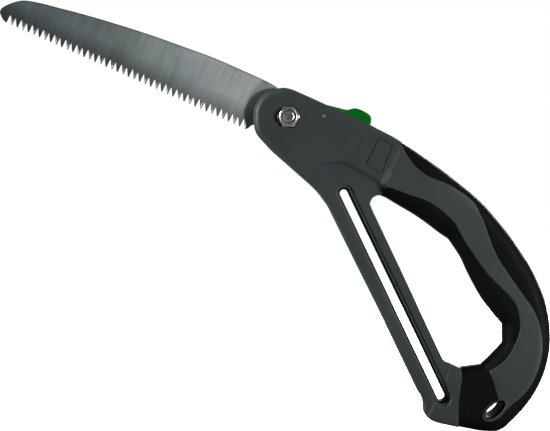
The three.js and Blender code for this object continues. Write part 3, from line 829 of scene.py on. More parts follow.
# the grip's side of the opening
grip_inner = spline([
    (61.0, -51.4), (63.8, -52.5), (72.9, -57.9), (82, -63.2), (90.8, -69.2), (99.2, -75.6),
    (105.6, -80.0), (113.4, -91.8), (117.6, -100.8), (122.4, -110.2), (127.7, -119.3),
    (134, -127.7), (141.0, -136.2), (141.2, -148.0), (134.9, -154.9), (127, -162.4),
    (113.2, -164.1),
], corners=(6, 12, 13, 15))
# the strut's side of the opening
strut_inner = spline([
    (111.0, -163.6), (106.7, -161.6), (101.9, -159.6), (100.4, -157.0), (87.7, -130.1),
    (74.4, -101.7), (60.9, -73.3), (56.4, -63.8), (54.3, -59), (53.6, -56.7), (54.5, -54),
    (56.1, -52.3), (58.4, -51.2),
])
# the facet between the head and the grip, and the soft grip's upper boundary
ridge_left = spline([(74.6, -15.2), (71.9, -19.6), (66.4, -29.9), (60.5, -41.7), (56.5, -49.5)])
ridge_right = spline([(75.0, -16.2), (73.2, -22.0), (68.3, -34.4), (64.2, -43.8), (61.0, -51.0)])
# the soft grip's boundary at the foot
foot_line = spline([
    (113.2, -164.1), (113.2, -172.2), (112.6, -178.1), (111.4, -189.8), (110.9, -203.5),
])
# the step down from the head to the strut
step_line = spline([
    (-22, -66), (-1.9, -46.0), (9.5, -37.6), (13.4, -35.0), (18, -32.5), (23.9, -30.6),
    (30.4, -29.8), (37, -30.6), (42.2, -32.9), (48.1, -36.1), (53.3, -39.1), (57.9, -42),
    (62.0, -44.6), (66.5, -47.5), (90, -62),
])
# the step up from the strut to the foot
foot_step = spline([
    (106.7, -148.0), (105.4, -161.2), (104.8, -166.9), (103.3, -172.7), (104.7, -178.4),
    (106.0, -184.9), (103.6, -188.9), (99.6, -188.8), (96.6, -186.4), (94.6, -189.8),
    (92.4, -194.6), (90, -200), (87, -207),
])
# the hard band that stands through the soft grip
band_outer = spline([
    (75.2, -19.0), (76.2, -22.6), (78.2, -26.2), (82, -31.6), (86.2, -35.4), (90.5, -38.6),
    (96.1, -41.1), (101.1, -43), (106.3, -45.3), (111.6, -48.5), (116.6, -52), (121.8, -57.1),
    (125.1, -64), (128.3, -71.4), (130.5, -78.3), (133.3, -85.8), (137, -93.2), (142, -100.7),
    (146.9, -108.1), (153.6, -117.5), (158.3, -123.9), (161.8, -130.9), (164.1, -138),
    (165.3, -146.2), (165.3, -153.2), (163.5, -161.9), (160.6, -170.1), (156.5, -177.1),
    (151.2, -183), (145.6, -187.6), (142.6, -191.0),
])
band_inner = spline([
    (63.4, -45.9), (66.2, -46.6), (72.5, -48.7), (78.1, -50.8), (83, -52.5), (89, -54.6),
    (93.6, -57.1), (98.3, -60.2), (103.9, -65.1), (108.4, -69.6), (111.5, -75.2), (115.2, -82),
    (120.2, -89.5), (125.8, -97.6), (131.4, -104.4), (138.2, -111.3), (144.8, -118),
    (148.3, -123.3), (150.1, -128.6), (150.8, -133.9), (150.7, -138.5), (148.9, -145),
    (146.6, -150.3), (143, -156), (138.4, -160.7), (133.7, -164), (130.6, -166.1),
    (133.4, -172.5), (135.3, -178.8), (137.0, -185.6),
], corners=(26,))
LABEL = [(59, -13.8), (68.1, -18.9), (60.4, -37.2), (50.6, -30.8)]
PAWL = [
    (11.49, 10.87), (12.78, 8.38), (14.73, 9.4), (17, 6.8), (18.9, 2.2), (19.6, -1.6),
    (22.9, -3.4), (26.5, -2.8), (33, -2.4), (45.5, -3.2), (46.5, -1), (44.5, 1.6), (32, 3.9),
    (25.5, 6.5), (18.9, 9.4), (14.2, 11.7),
]
PAWL_POCKET = [
    (9.6, 11.2), (12.2, 5), (16.5, 4.6), (18, -1), (19.3, -3), (22.9, -4.6), (46.3, -4.9),
    (48.5, -1), (47, 7), (30, 9), (24.2, 7.75), (19, 9.95), (14.2, 12.15),
]
BUTTON = [
    (25.8, 8.2), (32.6, 6.5), (38.6, 5.1), (41.2, 5.6), (43.8, 6.1), (47.1, 5.3), (52.4, 2.6),
    (54.1, 1.0), (54.7, -1.6), (54.2, -4.4), (53.0, -6.2), (49, -6.6), (44, -5), (36, -4.2),
    (30, -1.5), (26.6, 3.5),
]
BUTTON_POCKET = [
    (24, 12), (24.2, 2.6), (29.3, -2.6), (35.6, -5.4), (43.6, -6.2), (48.6, -8.2), (54.2, -8),
    (55.6, -4.5), (56, 8), (40, 16),
]

# everything on the +X side of this line belongs to the grip
grip_limit = np.vstack([
    [(95, 40), (78, -6)], ridge_right[:-1],
    [(61.0, -51.0), (64, -60), (90, -100), (108, -130), (113.5, -156)],
    foot_line, [(110.6, -240)],
])
label = densify(rounded(LABEL, 1.3), 0.7)
LANYARD = (134.2, -191.2)
RIM = (134.6, -191.6)
LANYARD_TURN = 41
lanyard_bore = ellipse(LANYARD, 7.0, 3.1, LANYARD_TURN, 72)
lanyard_hole = ellipse(LANYARD, 8.1, 4.0, LANYARD_TURN, 72)
lanyard_rim = ellipse(RIM, 9.5, 5.3, LANYARD_TURN, 80)
# the slot through the strut's face and the sunk ledge around it
slot_loop = densify(rounded(strut_box(57.0, 213.2, 7.7, 15.0), 3.4, 10), 1.0)
ledge_loop = densify(rounded(strut_box(55.8, 214.6, 6.9, 17.2), 4.9, 10), 1.0)
core_outer = shifted(grip_outer, -SOFT)
core_inner = shifted(grip_inner, SOFT)
ridge_band = ridge_right[4:-6]  # the stretch of the ridge where the band begins
full_outer = closed_path(left_edge, [(110.9, -203.2)], grip_outer[::-1], head_top[::-1])
full_open = closed_path(strut_inner, grip_inner)
band_loop = closed_path(band_outer[::-1], ridge_band, band_inner)
shell_outer = closed_path(left_edge, [(110.9, -203.2), (111.4, -201.2)],
                          core_outer[::-1][1:-2], [(75.0, -18.4)], head_top[::-1])
shell_open = closed_path(strut_inner, [(60.1, -51.2)], core_inner[2:-2],
                         [(112.6, -166.0), (112.7, -164.2)])
soft_outer = closed_path(grip_outer, [(111.4, -203.45)], shifted(foot_line, -0.12)[::-1][1:],
                         grip_inner[::-1][1:], shifted(ridge_right, 0.12)[::-1][:-1])


# ------------------------------------------------------------------ handle surfaces
def crown(points):
    """Half thickness over the soft grip, without the band."""
    blend = 26  # width over which the grip swells to its full thickness
    past_left, past_right = signed(points, ridge_left), signed(points, ridge_right)
    upper = HEAD_HALF + 0.8 * np.clip(past_left - past_right, 0, 3.5)
    upper = upper + (GRIP_HALF - upper) * smooth(np.maximum(past_right, 0) / blend)
    past_foot = np.where(points[:, 1] < -163, signed(points, foot_line), blend)
    foot = FOOT_HALF + 0.5
    lower = foot + (GRIP_HALF - FOOT_HALF - 0.5) * smooth(np.maximum(past_foot, 0) / blend)
    full = np.minimum(upper, lower)
    # rounded sections towards both edges, as fractions of the full height
    outer = np.clip(from_line(points, grip_outer) / 9.0, 0, 1)
    inner = np.clip(from_line(points, grip_inner) / 8.5, 0, 1)
    outer = (1 - (1 - outer) ** 2.1) ** (1 / 2.1)
    inner = (1 - (1 - inner) ** 1.9) ** (1 / 1.9)
    edge = 1.6
    return edge + (full - edge) * outer * inner


def core_top(crown_height):
    return np.minimum(crown_height - SOFT, CORE_MAX)


def frame_top(points, label_on, past_grip):
    """Half thickness of the head, the strut and the foot."""
    x, z = points[:, 0], points[:, 1]
    step_width = 1.5 + 0.9 * smooth((x - 25) / 15)
    step = smooth(signed(points, step_line) / step_width + 0.5)
    upper = STRUT_HALF + (HEAD_HALF - STRUT_HALF) * step
    past_step = signed(points, foot_step)
    foot_rise = (FOOT_HALF - 0.1 - STRUT_HALF) * smooth((past_step + 1.4) / 2.8)
    lower = STRUT_HALF + foot_rise + 0.45 * smooth(past_step / 12)
    height = np.where(z < -140, lower, upper)
    # a facet climbs from the head to the ridge beside the grip
    past_left = signed(points, ridge_left)
    facet = np.minimum(0.8 * past_left, 2.8) * smooth((z + 48.0) / 5)
    height = height + np.where((past_left > 0) & (z > -52) & (x > 50), facet, 0)
    if label_on:  # a groove around the label
        height = height - 0.45 * smooth((0.40 - from_loop(points, label)) / 0.2)
    # rolled edges, with a broad lip round the left end of the head
    edge = depth_in(points, full_outer)
    broad = smooth((z + 42) / 22) * smooth((6 - x) / 16)
    lip = 1.8 * smooth((3.7 - edge) / 3.2) * broad
    height = height - lip - roll(edge, 1.6 - 0.8 * broad)
    height = height - roll(from_loop(points, full_open), 0.5)
    ledge = depth_in(points, ledge_loop)
    height = height - 0.85 * smooth((ledge + 0.05) / 0.3)
    height = height - roll(np.where(ledge > 0, 9, -ledge), 0.35)
    height = height - roll(from_loop(points, slot_loop), 0.2)
    return height - np.where((z < -160) & (past_grip <= 0), roll(-past_grip, 0.5), 0)


def shell_top(points, label_on):
    """Half thickness of the hard shell: frame, core under the soft layer, band and rim."""
    past_grip = signed(points, grip_limit)
    rim = depth_in(points, lanyard_rim)
    band_depth = np.maximum(depth_in(points, band_loop), rim)
    crown_height = crown(points)
    hole_roll = roll(from_loop(points, lanyard_hole), 1.2)
    band = crown_height + BAND_UP - roll(np.maximum(band_depth, 0), 0.4)
    band = band + np.where(rim > 0, 0.25 * smooth(rim / 0.6) - hole_roll, 0)
    grip = np.where(band_depth > 0, band, core_top(crown_height))
    return np.where(past_grip > 0, grip, frame_top(points, label_on, past_grip))


def soft_top(points):
    raised = np.minimum(from_loop(points, band_loop), from_loop(points, lanyard_rim))
    return crown(points) - roll(raised, 0.45) - roll(from_loop(points, soft_outer), 0.3)


def shell_plan():
    """Triangles of the hard shell, with rows of points where its surface bends."""
    edge_rows = [0.04, 0.13, 0.3, 0.55, 0.85, 1.2]
    ledge_rows = [-0.36, -0.2, -0.1, -0.04, 0.06, 0.16, 0.27]
    lip_rows = [0.5, 0.9, 1.3, 1.7, 2.1, 2.5, 2.9, 3.3, 3.7, 4.1, 4.5]
    band_rows = [-0.04, 0.0, 0.05, 0.14, 0.27, 0.4]
    loops = [shell_outer, shell_open, slot_loop, lanyard_hole]
    seeds = [
        (beside_loop(shell_outer, edge_rows), 0.03),
        (beside_loop(shell_open, [-row for row in edge_rows[:5]]), 0.03),
        (beside_loop(slot_loop, [-row for row in edge_rows[:3]]), 0.03),
        (beside_loop(ledge_loop, ledge_rows), 0.03),
        (beside(left_edge[:60], lip_rows), 0.3),
        (beside(head_top[:30], [-row for row in lip_rows]), 0.3),
        (beside_loop(lanyard_hole, [-0.06, -0.22, -0.5, -0.85, -1.2]), 0.05),
        (beside_loop(band_loop, band_rows), 0.03),
        (beside_loop(lanyard_rim, band_rows), 0.03),
        (beside(ridge_left, [-0.2, 0, 0.2]), 0.1),
        (beside(ridge_right, [-0.3, -0.03, 0.03]), 0.03),
        (beside(foot_line, [-0.5, -0.32, -0.18, -0.08, -0.03, 0.03]), 0.03),
        (beside(step_line, [-0.85, -0.6, -0.3, 0, 0.3, 0.6, 0.85]), 0.15),
        (beside(foot_step, [-1.4, -0.9, -0.45, 0, 0.45, 0.9, 1.4, 2.4, 4]), 0.3),
        (beside_loop(label, [-0.42, -0.3, -0.2, 0.0, 0.2, 0.3, 0.42]), 0.05),
        (grid(shell_outer, 1.9), 0.95),
    ]
    return triangulate(loops, fill_points(loops, seeds, margins=[0.025] * 4))


def soft_plan():
    """Triangles of the soft layer, with rows at its edge, over the core's edge and at the band."""
    band_rows = [-0.05, -0.12, -0.22, -0.45, -0.8]
    seeds = [
        (beside_loop(soft_outer, [0.04, 0.14, 0.3, 0.6, 1.0, 1.5, 2.2, 3.0]), 0.05),
        (beside(core_outer, [0.03, 0.16]), 0.03),
        (beside(core_inner, [-0.03, -0.16]), 0.03),
        (beside_loop(band_loop, band_rows), 0.05),
        (beside_loop(lanyard_rim, band_rows), 0.05),
        (grid(soft_outer, 1.7), 0.85),
    ]
    return triangulate([soft_outer], fill_points([soft_outer], seeds, margins=[0.03]))


# ------------------------------------------------------------------ handle halves
shell_flat, shell_tris = shell_plan()
soft_flat, soft_tris = soft_plan()
soft_high = soft_top(soft_flat)
over_core = inside(soft_flat, shell_outer) & ~inside(soft_flat, shell_open)
over_core |= from_loop(soft_flat, shell_outer) < 0.08
over_core |= from_loop(soft_flat, shell_open) < 0.08
# the soft layer sits on the core, and reaches the seam beyond it
soft_low = np.minimum(core_top(crown(soft_flat)) + 0.08, soft_high - 0.4)
soft_low = np.where(over_core, soft_low, SEAM)

# band and rim with clearance, cut out of the soft layer
band_grown = densify(closed_path(
    shifted(band_outer, 0.1)[::-1], [(74.6, -18.6)], ridge_band - 0.6, [(62.6, -46.1)],
    shifted(band_inner, -0.1),
), 0.9)
rim_grown = densify(ellipse(RIM, 9.6, 5.4, LANYARD_TURN, 80), 0.9)

# the space for the blade: an arc round the pivot, the strut's inside, then clear of the left edge
blade_slit = [polar(15.5, angle) for angle in np.linspace(109, 25.6, 40)]
blade_slit += [strut_at(*place) for place in (
    (20, 15.5), (21, 16.2), (22, 18.8), (204.2, 18.8), (204.8, 9), (205, 0), (204.2, -18),
)]
blade_slit += [(40, -190), (-70, -120), (-70, 60), polar(60, 109)]
channel_seat = strut_box(49.7, 215.8, 0.9, 20.9)


def spring_seat():
    """An upright cylinder for the lower end of the lock spring."""
    radius, half, bottom = 2.6, 4.5, -13.5
    seat = lathe("tool", (0, 0), [(0, -half), (radius, -half), (radius, half), (0, half)], 40)
    centre = PIVOT + Vector((SPRING_X * MM, 0, (bottom + half) * MM))
    seat.data.transform(Matrix.Translation(-PIVOT))
    seat.data.transform(Matrix.Translation(centre) @ Matrix.Rotation(math.pi / 2, 4, "X"))
    return seat


def make_shell(rear, side):
    shell = solid("shell_half_" + side, shell_flat, shell_tris,
                  shell_top(shell_flat, label_on=not rear), SEAM, rear)

    def block(loop, high, low=-1):
        return half_prism(rear, loop, high, low)

    boolean(shell, block(blade_slit, 1.5))
    boolean(shell, bundle(block(channel_seat, 3.7), block(BUTTON_POCKET, 3.8),
                          block(circle((0, 0), 5.6, 64), 3.3)))
    boolean(shell, bundle(block(PAWL_POCKET, 1.5), spring_seat()))
    holes = [block(circle((0, 0), 4.2, 64), THROUGH), block(circle(LOCK_PIN, 1.25, 32), THROUGH)]
    for x, z, seat in SCREWS:
        blind = 6.4 if seat > DEEP_SCREW else 4.9
        holes.append(block(circle((x, z), SCREW_SHAFT_FIT, 24), THROUGH if rear else blind))
    boolean(shell, bundle(*holes))
    if rear:  # recesses for the bolt head and the screw heads
        recesses = [block(circle((0, 0), 8.3, 96), THROUGH, 5.0)]
        recesses += [block(circle((x, z), 3.2, 48), THROUGH, seat) for x, z, seat in SCREWS]
        boolean(shell, bundle(*recesses))
    else:  # recess for the nut
        boolean(shell, block(rounded(hexagon(14.4 / math.sqrt(3)), 0.7, 5), THROUGH, 5.0))
    finish(shell, 30, shell_grey, "handle", "shell", "handle_shell_" + side)


def make_soft_grip(rear, side):
    grip = solid("soft_grip_" + side, soft_flat, soft_tris, soft_high, soft_low, rear)
    boolean(grip, half_prism(rear, band_grown, THROUGH), half_prism(rear, rim_grown, THROUGH))
    if rear:
        boolean(grip, bundle(*[half_prism(rear, circle((x, z), 3.25, 48), THROUGH)
                               for x, z, seat in SCREWS if seat > DEEP_SCREW]))
    finish(grip, 30, soft_black, "handle", "soft_grip", "grip_overmould_" + side)


def make_sleeve():
    """Soft lining of the lanyard hole, one tube through both halves."""
    ring = ellipse(LANYARD, 8.04, 3.94, LANYARD_TURN, 72)
    flat, tris = triangulate([ring, lanyard_bore], beside_loop(lanyard_bore, [-0.12, -0.3]))
    half = crown(flat) + BAND_UP - 1.15 - roll(from_loop(flat, lanyard_bore), 0.4)
    levels = (0.15, 0.3, 0.5, 0.7, 0.85)
    sleeve = solid("lanyard_sleeve", flat, tris, half, -half, levels=levels)
    finish(sleeve, 40, soft_black, "handle", "soft_grip")


def make_channel():
    """Black channel in the strut that guides the folded blade."""
    outer = densify(rounded(strut_box(50, 215.5, 1.2, 20.6), 1.0, 4), 2.0)
    window = densify(rounded(strut_box(58.2, 211.6, 8.6, 14.15), 2.6, 10), 1.0)
    window_rows = beside_loop(window, [-0.12, -0.3, -0.5, -0.75, -0.88, -1.0, -1.3])
    seeds = [(window_rows, 0.25), (grid(outer, 3.0), 0.25)]
    loops = [outer, window]
    flat, tris = triangulate(loops, fill_points(loops, seeds, margins=[0.2, 0.1]))
    to_window = from_loop(flat, window)
    lip = 1.3 * smooth((1.0 - to_window) / 0.25)
    half = 3.6 + lip - roll(to_window, 0.5) * 0.9 - roll(from_loop(flat, outer), 0.3)
    channel = solid("guide_channel", flat, tris, half, -half)
    boolean(channel, prism(strut_box(40, 213, -4, 19.2), 1.5, -1.5))
    finish(channel, 30, channel_black, "handle", "channel", "blade_guard_channel")


for rear, side in ((False, "front"), (True, "rear")):
    make_shell(rear, side)
    make_soft_grip(rear, side)
make_sleeve()
make_channel()

# ------------------------------------------------------------------ blade
BLADE_HALF = 0.7
BLADE_BORE = 5.62
TANG_RADIUS = 15.0
LOCK_NOTCH = 36.2  # angle of the notch that meets the pawl with the blade open
FOLD_ANGLE = 139
# back from a tip along the tooth line, depth from the gullet's floor
GULLET = ((1.12, -0.4), (0.95, -0.1), (0.74, -0.08), (0.6, -0.4))


def tooth_at(k, back, deep):
    """A point back along the tooth line from tip k, and deep into the blade."""
    along = TOOTH_RUN * k / (TEETH - 1) - back
    return FIRST_TIP + TOOTH_DIR * along + BACK_DIR * deep


def tang_arc(start, stop):
    return [polar(TANG_RADIUS, angle) for angle in np.arange(start, stop, -3)]


def notch(angle):
    corners = ((TANG_RADIUS, 7.1), (13.3, 6.3), (13.3, -6.7), (TANG_RADIUS, -6.9))
    return [polar(radius, angle + turn) for radius, turn in corners]


def blade_outline():
    points = [polar(19.6, 110.5), polar(TANG_RADIUS, 109.5)]
    points += tang_arc(107, 44.5) + notch(LOCK_NOTCH)
    points += tang_arc(27, -94) + notch(LOCK_NOTCH - FOLD_ANGLE) + tang_arc(-112, -119)
    points += [(-12.0, -11.0), (-20.2, -4.6), (-21.6, -4.5), (-23.2, -4.6), (-24.8, -5.3)]
    points += [(-26.2, -6.6), (-27.4, -7.3)]
    for k in range(TEETH):
        if k:
            floor = TOOTH_DEPTH + (0.55 if k % 2 else -0.05)
            points += [tooth_at(k, back, floor + rise) for back, rise in GULLET]
            points += [tooth_at(k, 0.36, 0.5), tooth_at(k, 0.24, 0.2)]
        points += [tooth_at(k, -0.30, 0.0), tooth_at(k, -0.46, 0.14)]
    points += [(-187.8, 64.2), (-189.2, 66.4)]
    return closed_path([list(point) for point in points], spline(BLADE_BACK, step=1.2))


def make_blade():
    outline = blade_outline()
    bore = circle((0, 0), BLADE_BORE, 72)
    seeds = [
        (beside_loop(densify(outline, 0.55), [0.15, 0.45, 0.85, 1.3]), 0.22),
        (grid(outline, 3.2), 1.3),
    ]
    extra = fill_points([outline, bore], seeds, margins=[0.1, 0.3])
    dense = densify(outline, 1.1)
    flat, tris = triangulate([dense, bore], extra)

    # teeth are bent and bevelled to alternate sides; other edges have a small chamfer
    along, deep = along_and_deep(flat)
    tooth = np.round((along - 0.9) / (TOOTH_RUN / (TEETH - 1)))
    side = np.where(tooth % 2 == 0, 1.0, -1.0)
    edge = from_loop(flat, dense)
    toothed = (deep < TOOTH_DEPTH + 0.6) & (along > -1.5) & (along < TOOTH_RUN + 2)
    fade = np.clip((TOOTH_DEPTH + 0.2 - deep) / 1.2, 0, 1)
    bevel = np.clip(1 - edge / 0.85, 0, 1) * fade * toothed
    bend = 0.32 * np.clip((3.4 - deep) / 3.4, 0, 1) ** 1.3 * toothed
    chamfer = np.clip(1 - edge / 0.16, 0, 1) * 0.12 * (~toothed)
    high = BLADE_HALF - 0.75 * bevel * (side > 0) - chamfer + bend * side
    low = -(BLADE_HALF - 0.75 * bevel * (side < 0) - chamfer) + bend * side
    blade = solid("blade_steel", flat, tris, high, low)
    finish(blade, 16, blade_steel, "blade", "blade", "saw_blade")

    # the slanted faces among the teeth take the bevel material
    blade.data.materials.append(tooth_steel)
    polygons = blade.data.polygons
    normals, centres = np.empty(len(polygons) * 3), np.empty(len(polygons) * 3)
    polygons.foreach_get("normal", normals)
    polygons.foreach_get("center", centres)
    along, deep = along_and_deep((centres.reshape(-1, 3) / MM)[:, [0, 2]])
    slanted = np.abs(normals.reshape(-1, 3)[:, 1]) < 0.985
    ground = slanted & (deep < TOOTH_DEPTH + 0.5) & (along > -1)
    polygons.foreach_set("material_index", ground.astype(np.int32))


make_blade()


# ------------------------------------------------------------------ pivot hardware
def arc_profile(centre, radius, start, end, segments):
    """Profile points on an arc, from the start angle to the end angle in degrees."""
    out = []
    for i in range(segments + 1):
        angle = math.radians(start + (end - start) * i / segments)
        out.append([centre[0] + radius * math.cos(angle), centre[1] + radius * math.sin(angle)])
    return out


def thread(y, stop, pitch, turn):
    """Profile of thread turns, and where the next would start; a turn is (radius, rise)."""
    points = []
    while y < stop:
        points += [(radius, y + rise) for radius, rise in turn]
        y += pitch
    return points, y


def make_bolt():
    """Turned bolt: thread end at -Y, domed head with a hexagon socket at +Y."""
    shank = 3.98
    profile = [
        (0, -11.32), (1.2, -11.35), (2.6, -11.45), (2.85, -11.5), (3.0, -11.49), (3.2, -11.42),
        (3.4, -11.3), (3.6, -11.12), (3.74, -10.94),
    ]
    turns, y = thread(-11.0, -5.6, 1.25, ((shank, 0.22), (shank, 0.38), (3.55, 0.72), (3.55, 0.85)))
    profile += turns + [(shank, y + 0.3), (shank, 5.85), (7.1, 5.85), (7.3, 6.05), (7.3, 7.7)]
    profile += arc_profile((5.3, 7.2), 2.0, 18, 88, 8) + [(3.6, 9.35), (0, 9.45)]
    bolt = lathe("pivot_bolt_turned", (0, 0), profile)
    boolean(bolt, prism(hexagon(2.9, turn=30), 12, 6.9))
    finish(bolt, 35, zinc, "handle", "plated_steel", "pivot_bolt")


def make_nut():
    """Hexagon nut with chamfered corners and a raised collar for its nylon ring."""
    nut = prism(hexagon(13.0 / math.sqrt(3)), -5.1, -9.9, "pivot_nut_hex")
    chamfer = [
        (0, -4), (9, -4), (9, -9.05), (7.42, -9.62), (7.25, -9.73), (6.4, -9.93), (6.2, -9.95),
        (0, -9.95),
    ]
    collar = [(0, -9), (5.95, -9), (5.95, -9.9), (5.85, -10.0), (5.85, -10.7)]
    collar += [(5.25 + 0.6 * math.cos(angle), -10.7 - 0.6 * math.sin(angle))
               for angle in np.linspace(0.2, 1.5, 7)]
    collar += [(4.9, -11.3), (0, -11.3)]
    ring_seat = [
        (4.0, -9), (5.45, -9), (5.45, -10.9), (4.9, -11.2), (4.9, -14), (4.0, -14),
    ]
    boolean(nut, lathe("tool", (0, 0), chamfer, 128), operation="INTERSECT")
    boolean(nut, lathe("tool", (0, 0), collar, 128), operation="UNION")
    boolean(nut, prism(circle((0, 0), 4.12, 64), 0, -14), lathe("tool", (0, 0), ring_seat))
    finish(nut, 25, nut_plate, "handle", "plated_steel", "pivot_nut")


def thrust_washer(side):
    """Profile of a thrust washer; side is -1 at the front and 1 at the rear."""
    section = (
        (5.65, 0.8), (5.7, 0.75), (11.9, 0.75), (12.0, 0.85), (12.0, 1.35), (11.9, 1.45),
        (5.75, 1.45), (5.65, 1.35),
    )
    return [(radius, side * y) for radius, y in section]


# name, material, slot, node, profile of (radius, y)
TURNED_RINGS = (
    ("nut_nylon_ring", nylon, "locking_ring", "nut_locking_ring", [
        (4.2, -9.1), (5.35, -9.1), (5.35, -10.75), (5.2, -10.88), (4.45, -10.9), (4.2, -10.7),
    ]),
    ("pivot_bush_turned", plain_steel, "plain_steel", "pivot_bush", [
        (4.12, -3.0), (4.3, -3.2), (5.3, -3.2), (5.5, -3.0), (5.5, 3.0), (5.3, 3.2),
        (4.3, 3.2), (4.12, 3.0),
    ]),
    ("thrust_washer_a", plain_steel, "plain_steel", "thrust_washer_front", thrust_washer(-1)),
    ("thrust_washer_b", plain_steel, "plain_steel", "thrust_washer_rear", thrust_washer(1)),
    ("bolt_washer_turned", zinc, "plated_steel", "bolt_washer", [
        (4.2, 5.1), (4.25, 5.05), (7.8, 5.05), (7.9, 5.15), (7.9, 5.62), (7.75, 5.75),
        (4.35, 5.75), (4.2, 5.6),
    ]),
)
LOCK_PIN_PROFILE = [
    (0, -7.5), (0.36, -7.55), (0.46, -7.86), (0.56, -7.93), (0.94, -7.93), (1.06, -7.86),
    (1.12, -7.7), (1.15, -7.5), (1.15, 7.6), (0.95, 7.85), (0.6, 8.0), (0, 8.0),
]


def turned_box(centre, width, height, degrees):
    turn = math.radians(degrees)
    cos, sin = math.cos(turn), math.sin(turn)
    corners = [(-width / 2, -height / 2), (width / 2, -height / 2),
               (width / 2, height / 2), (-width / 2, height / 2)]
    return [(centre[0] + x * cos - z * sin, centre[1] + x * sin + z * cos) for x, z in corners]


def make_screw(i, x, z, seat):
    """Shell screw with a domed head at +Y and a cross recess."""
    core, shank = 1.1, 1.45
    end, head = (-6.2 if seat > DEEP_SCREW else -4.7), seat + 0.1
    turn = ((core, 0), (shank, 0.32), (shank, 0.42), (core, 0.74))
    turns, y = thread(end + 1.4, head - 3.4, 1.1, turn)
    profile = [(0, end), (0.5, end + 0.1)] + turns
    profile += [(core, y + 0.1), (shank, y + 0.5), (shank, head)]
    profile += [(2.75, head), (2.9, head + 0.15), (2.9, head + 0.7)]
    profile += arc_profile((1.5, head + 0.72), 1.4, 5, 80, 7) + [(0, head + 2.15)]
    screw = lathe(f"screw_{i + 1}", (x, z), profile, 48)
    for width, height, floor in ((3.3, 0.75, 0.9), (0.75, 3.3, 0.9), (1.35, 1.35, 0.7)):
        box = turned_box((x, z), width, height, 17 + 41 * i)
        boolean(screw, prism(box, head + 4, head + floor))
    finish(screw, 35, zinc, "handle", "plated_steel", f"shell_screw_{i + 1}")


make_bolt()
make_nut()
for name, material, slot, node, profile in TURNED_RINGS:
    finish(lathe(name, (0, 0), profile), 30, material, "handle", slot, node)
finish(lathe("lever_pin", LOCK_PIN, LOCK_PIN_PROFILE, 40), 40, pin_steel,
       "handle", "plain_steel", "lock_pivot_pin")
for i, screw in enumerate(SCREWS):
    make_screw(i, *screw)


# ------------------------------------------------------------------ lock lever
def make_pawl():
    outline = densify(rounded(PAWL, 0.35, 3), 0.8)
    loops = [outline, circle(LOCK_PIN, 1.35, 32)]
    seeds = [(beside_loop(outline, [0.1, 0.22]), 0.1)]
    flat, tris = triangulate(loops, fill_points(loops, seeds, margins=[0.06, 0]))
    half = 1.4 - roll(from_loop(flat, outline), 0.22)
    pawl = solid("pawl_plate", flat, tris, half, -half)
    finish(pawl, 30, plain_steel, "lock_lever", "plain_steel", "lock_pawl")


def make_button():
    """Green thumb button, hollowed for the pawl plate."""
    outline = closed_path(spline(BUTTON + BUTTON[:1], step=0.5, corners=(12, 13)))
    seeds = [
        (beside_loop(outline, [0.04, 0.14, 0.3, 0.5, 0.75, 1.05, 1.4]), 0.12),
        (grid(outline, 0.8), 0.12),
    ]
    flat, tris = triangulate([outline], fill_points([outline], seeds, margins=[0.03]))
    x, z = flat[:, 0], flat[:, 1]
    dip = 0.35 * np.exp(-(((x - 47.5) / 3.4) ** 2 + ((z - 0.6) / 2.4) ** 2))
    half = 3.5 - roll(from_loop(flat, outline), 1.15) - dip
    button = solid("thumb_button", flat, tris, half, -half)
    pawl_grown = densify(closed_path(shifted(np.array(PAWL + PAWL[:1]), -0.15)), 1.0)
    boolean(button, prism(pawl_grown, 1.5, -1.5))
    finish(button, 35, button_green, "lock_lever", "button", "lock_button")


def make_spring():
    """Upright wire coil between the handle and the button."""
    sides, per_turn, turns = 14, 28, 5
    radius, wire = 1.9, 0.3
    steps = per_turn * turns
    height = SPRING_TOP - SPRING_BOTTOM
    verts, faces = [], []
    for i in range(steps + 1):
        angle = 2 * math.pi * i / per_turn
        z = SPRING_BOTTOM + wire + (height - 2 * wire) * i / steps
        slope = height / (steps * 2 * math.pi / per_turn) / radius
        tangent = Vector((-math.sin(angle), math.cos(angle), slope)).normalized()
        outward = Vector((math.cos(angle), math.sin(angle), 0))
        upward = outward.cross(tangent)
        for j in range(sides):
            turn = 2 * math.pi * j / sides
            point = outward * (radius + wire * math.cos(turn)) + upward * (wire * math.sin(turn))
            verts.append((SPRING_X + point.x, point.y, z + point.z))
    for i in range(steps):
        ring, after = i * sides, (i + 1) * sides
        for j in range(sides):
            k = (j + 1) % sides
            faces.append((ring + j, ring + k, after + k, after + j))
    faces.append(tuple(range(sides))[::-1])
    faces.append(tuple(steps * sides + j for j in range(sides)))
    spring = mesh_object("return_coil", verts, faces)
    face_outward(spring)
    clean(spring, 50)
    paint(spring, plain_steel)
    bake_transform(spring)
    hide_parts("lock_spring")


make_pawl()
make_button()
make_spring()


# ------------------------------------------------------------------ stage, light, camera
def make_floor():
    """A floor that the camera sees nearly white, but that reflects little light."""
    low = min(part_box(name)[0].z for name in frame["nodes"])
    bpy.ops.mesh.primitive_plane_add(size=16, location=(0, 0, low - 0.0012))
    floor = bpy.context.object
    floor.name = "floor"
    material, shader, principled = new_material("mat_floor")
    seen = shader.node("LightPath").outputs["Is Camera Ray"]
    cloud = shader.noise(shader.coords(), scale=3.0, detail=2.0, roughness=0.5)
    pale = shader.ramp(cloud, list(zip(MIDDLE, ((0.90, 0.90, 0.90), (0.92, 0.92, 0.92)))))
    away = shader.vector("LENGTH", shader.coords())
    glow = shader.remap(away, (0.5, 1.6), (0.80, 1.0))
    shader.feed(principled, {
        "Base Color": shader.mix(seen, (0.20, 0.20, 0.20), pale),
        "Roughness": 0.95,
        "Specular IOR Level": 0.0,
        "Emission Color": (1, 1, 1),
        "Emission Strength": shader.multiply(seen, glow),
    })
    floor.data.materials.append(material)


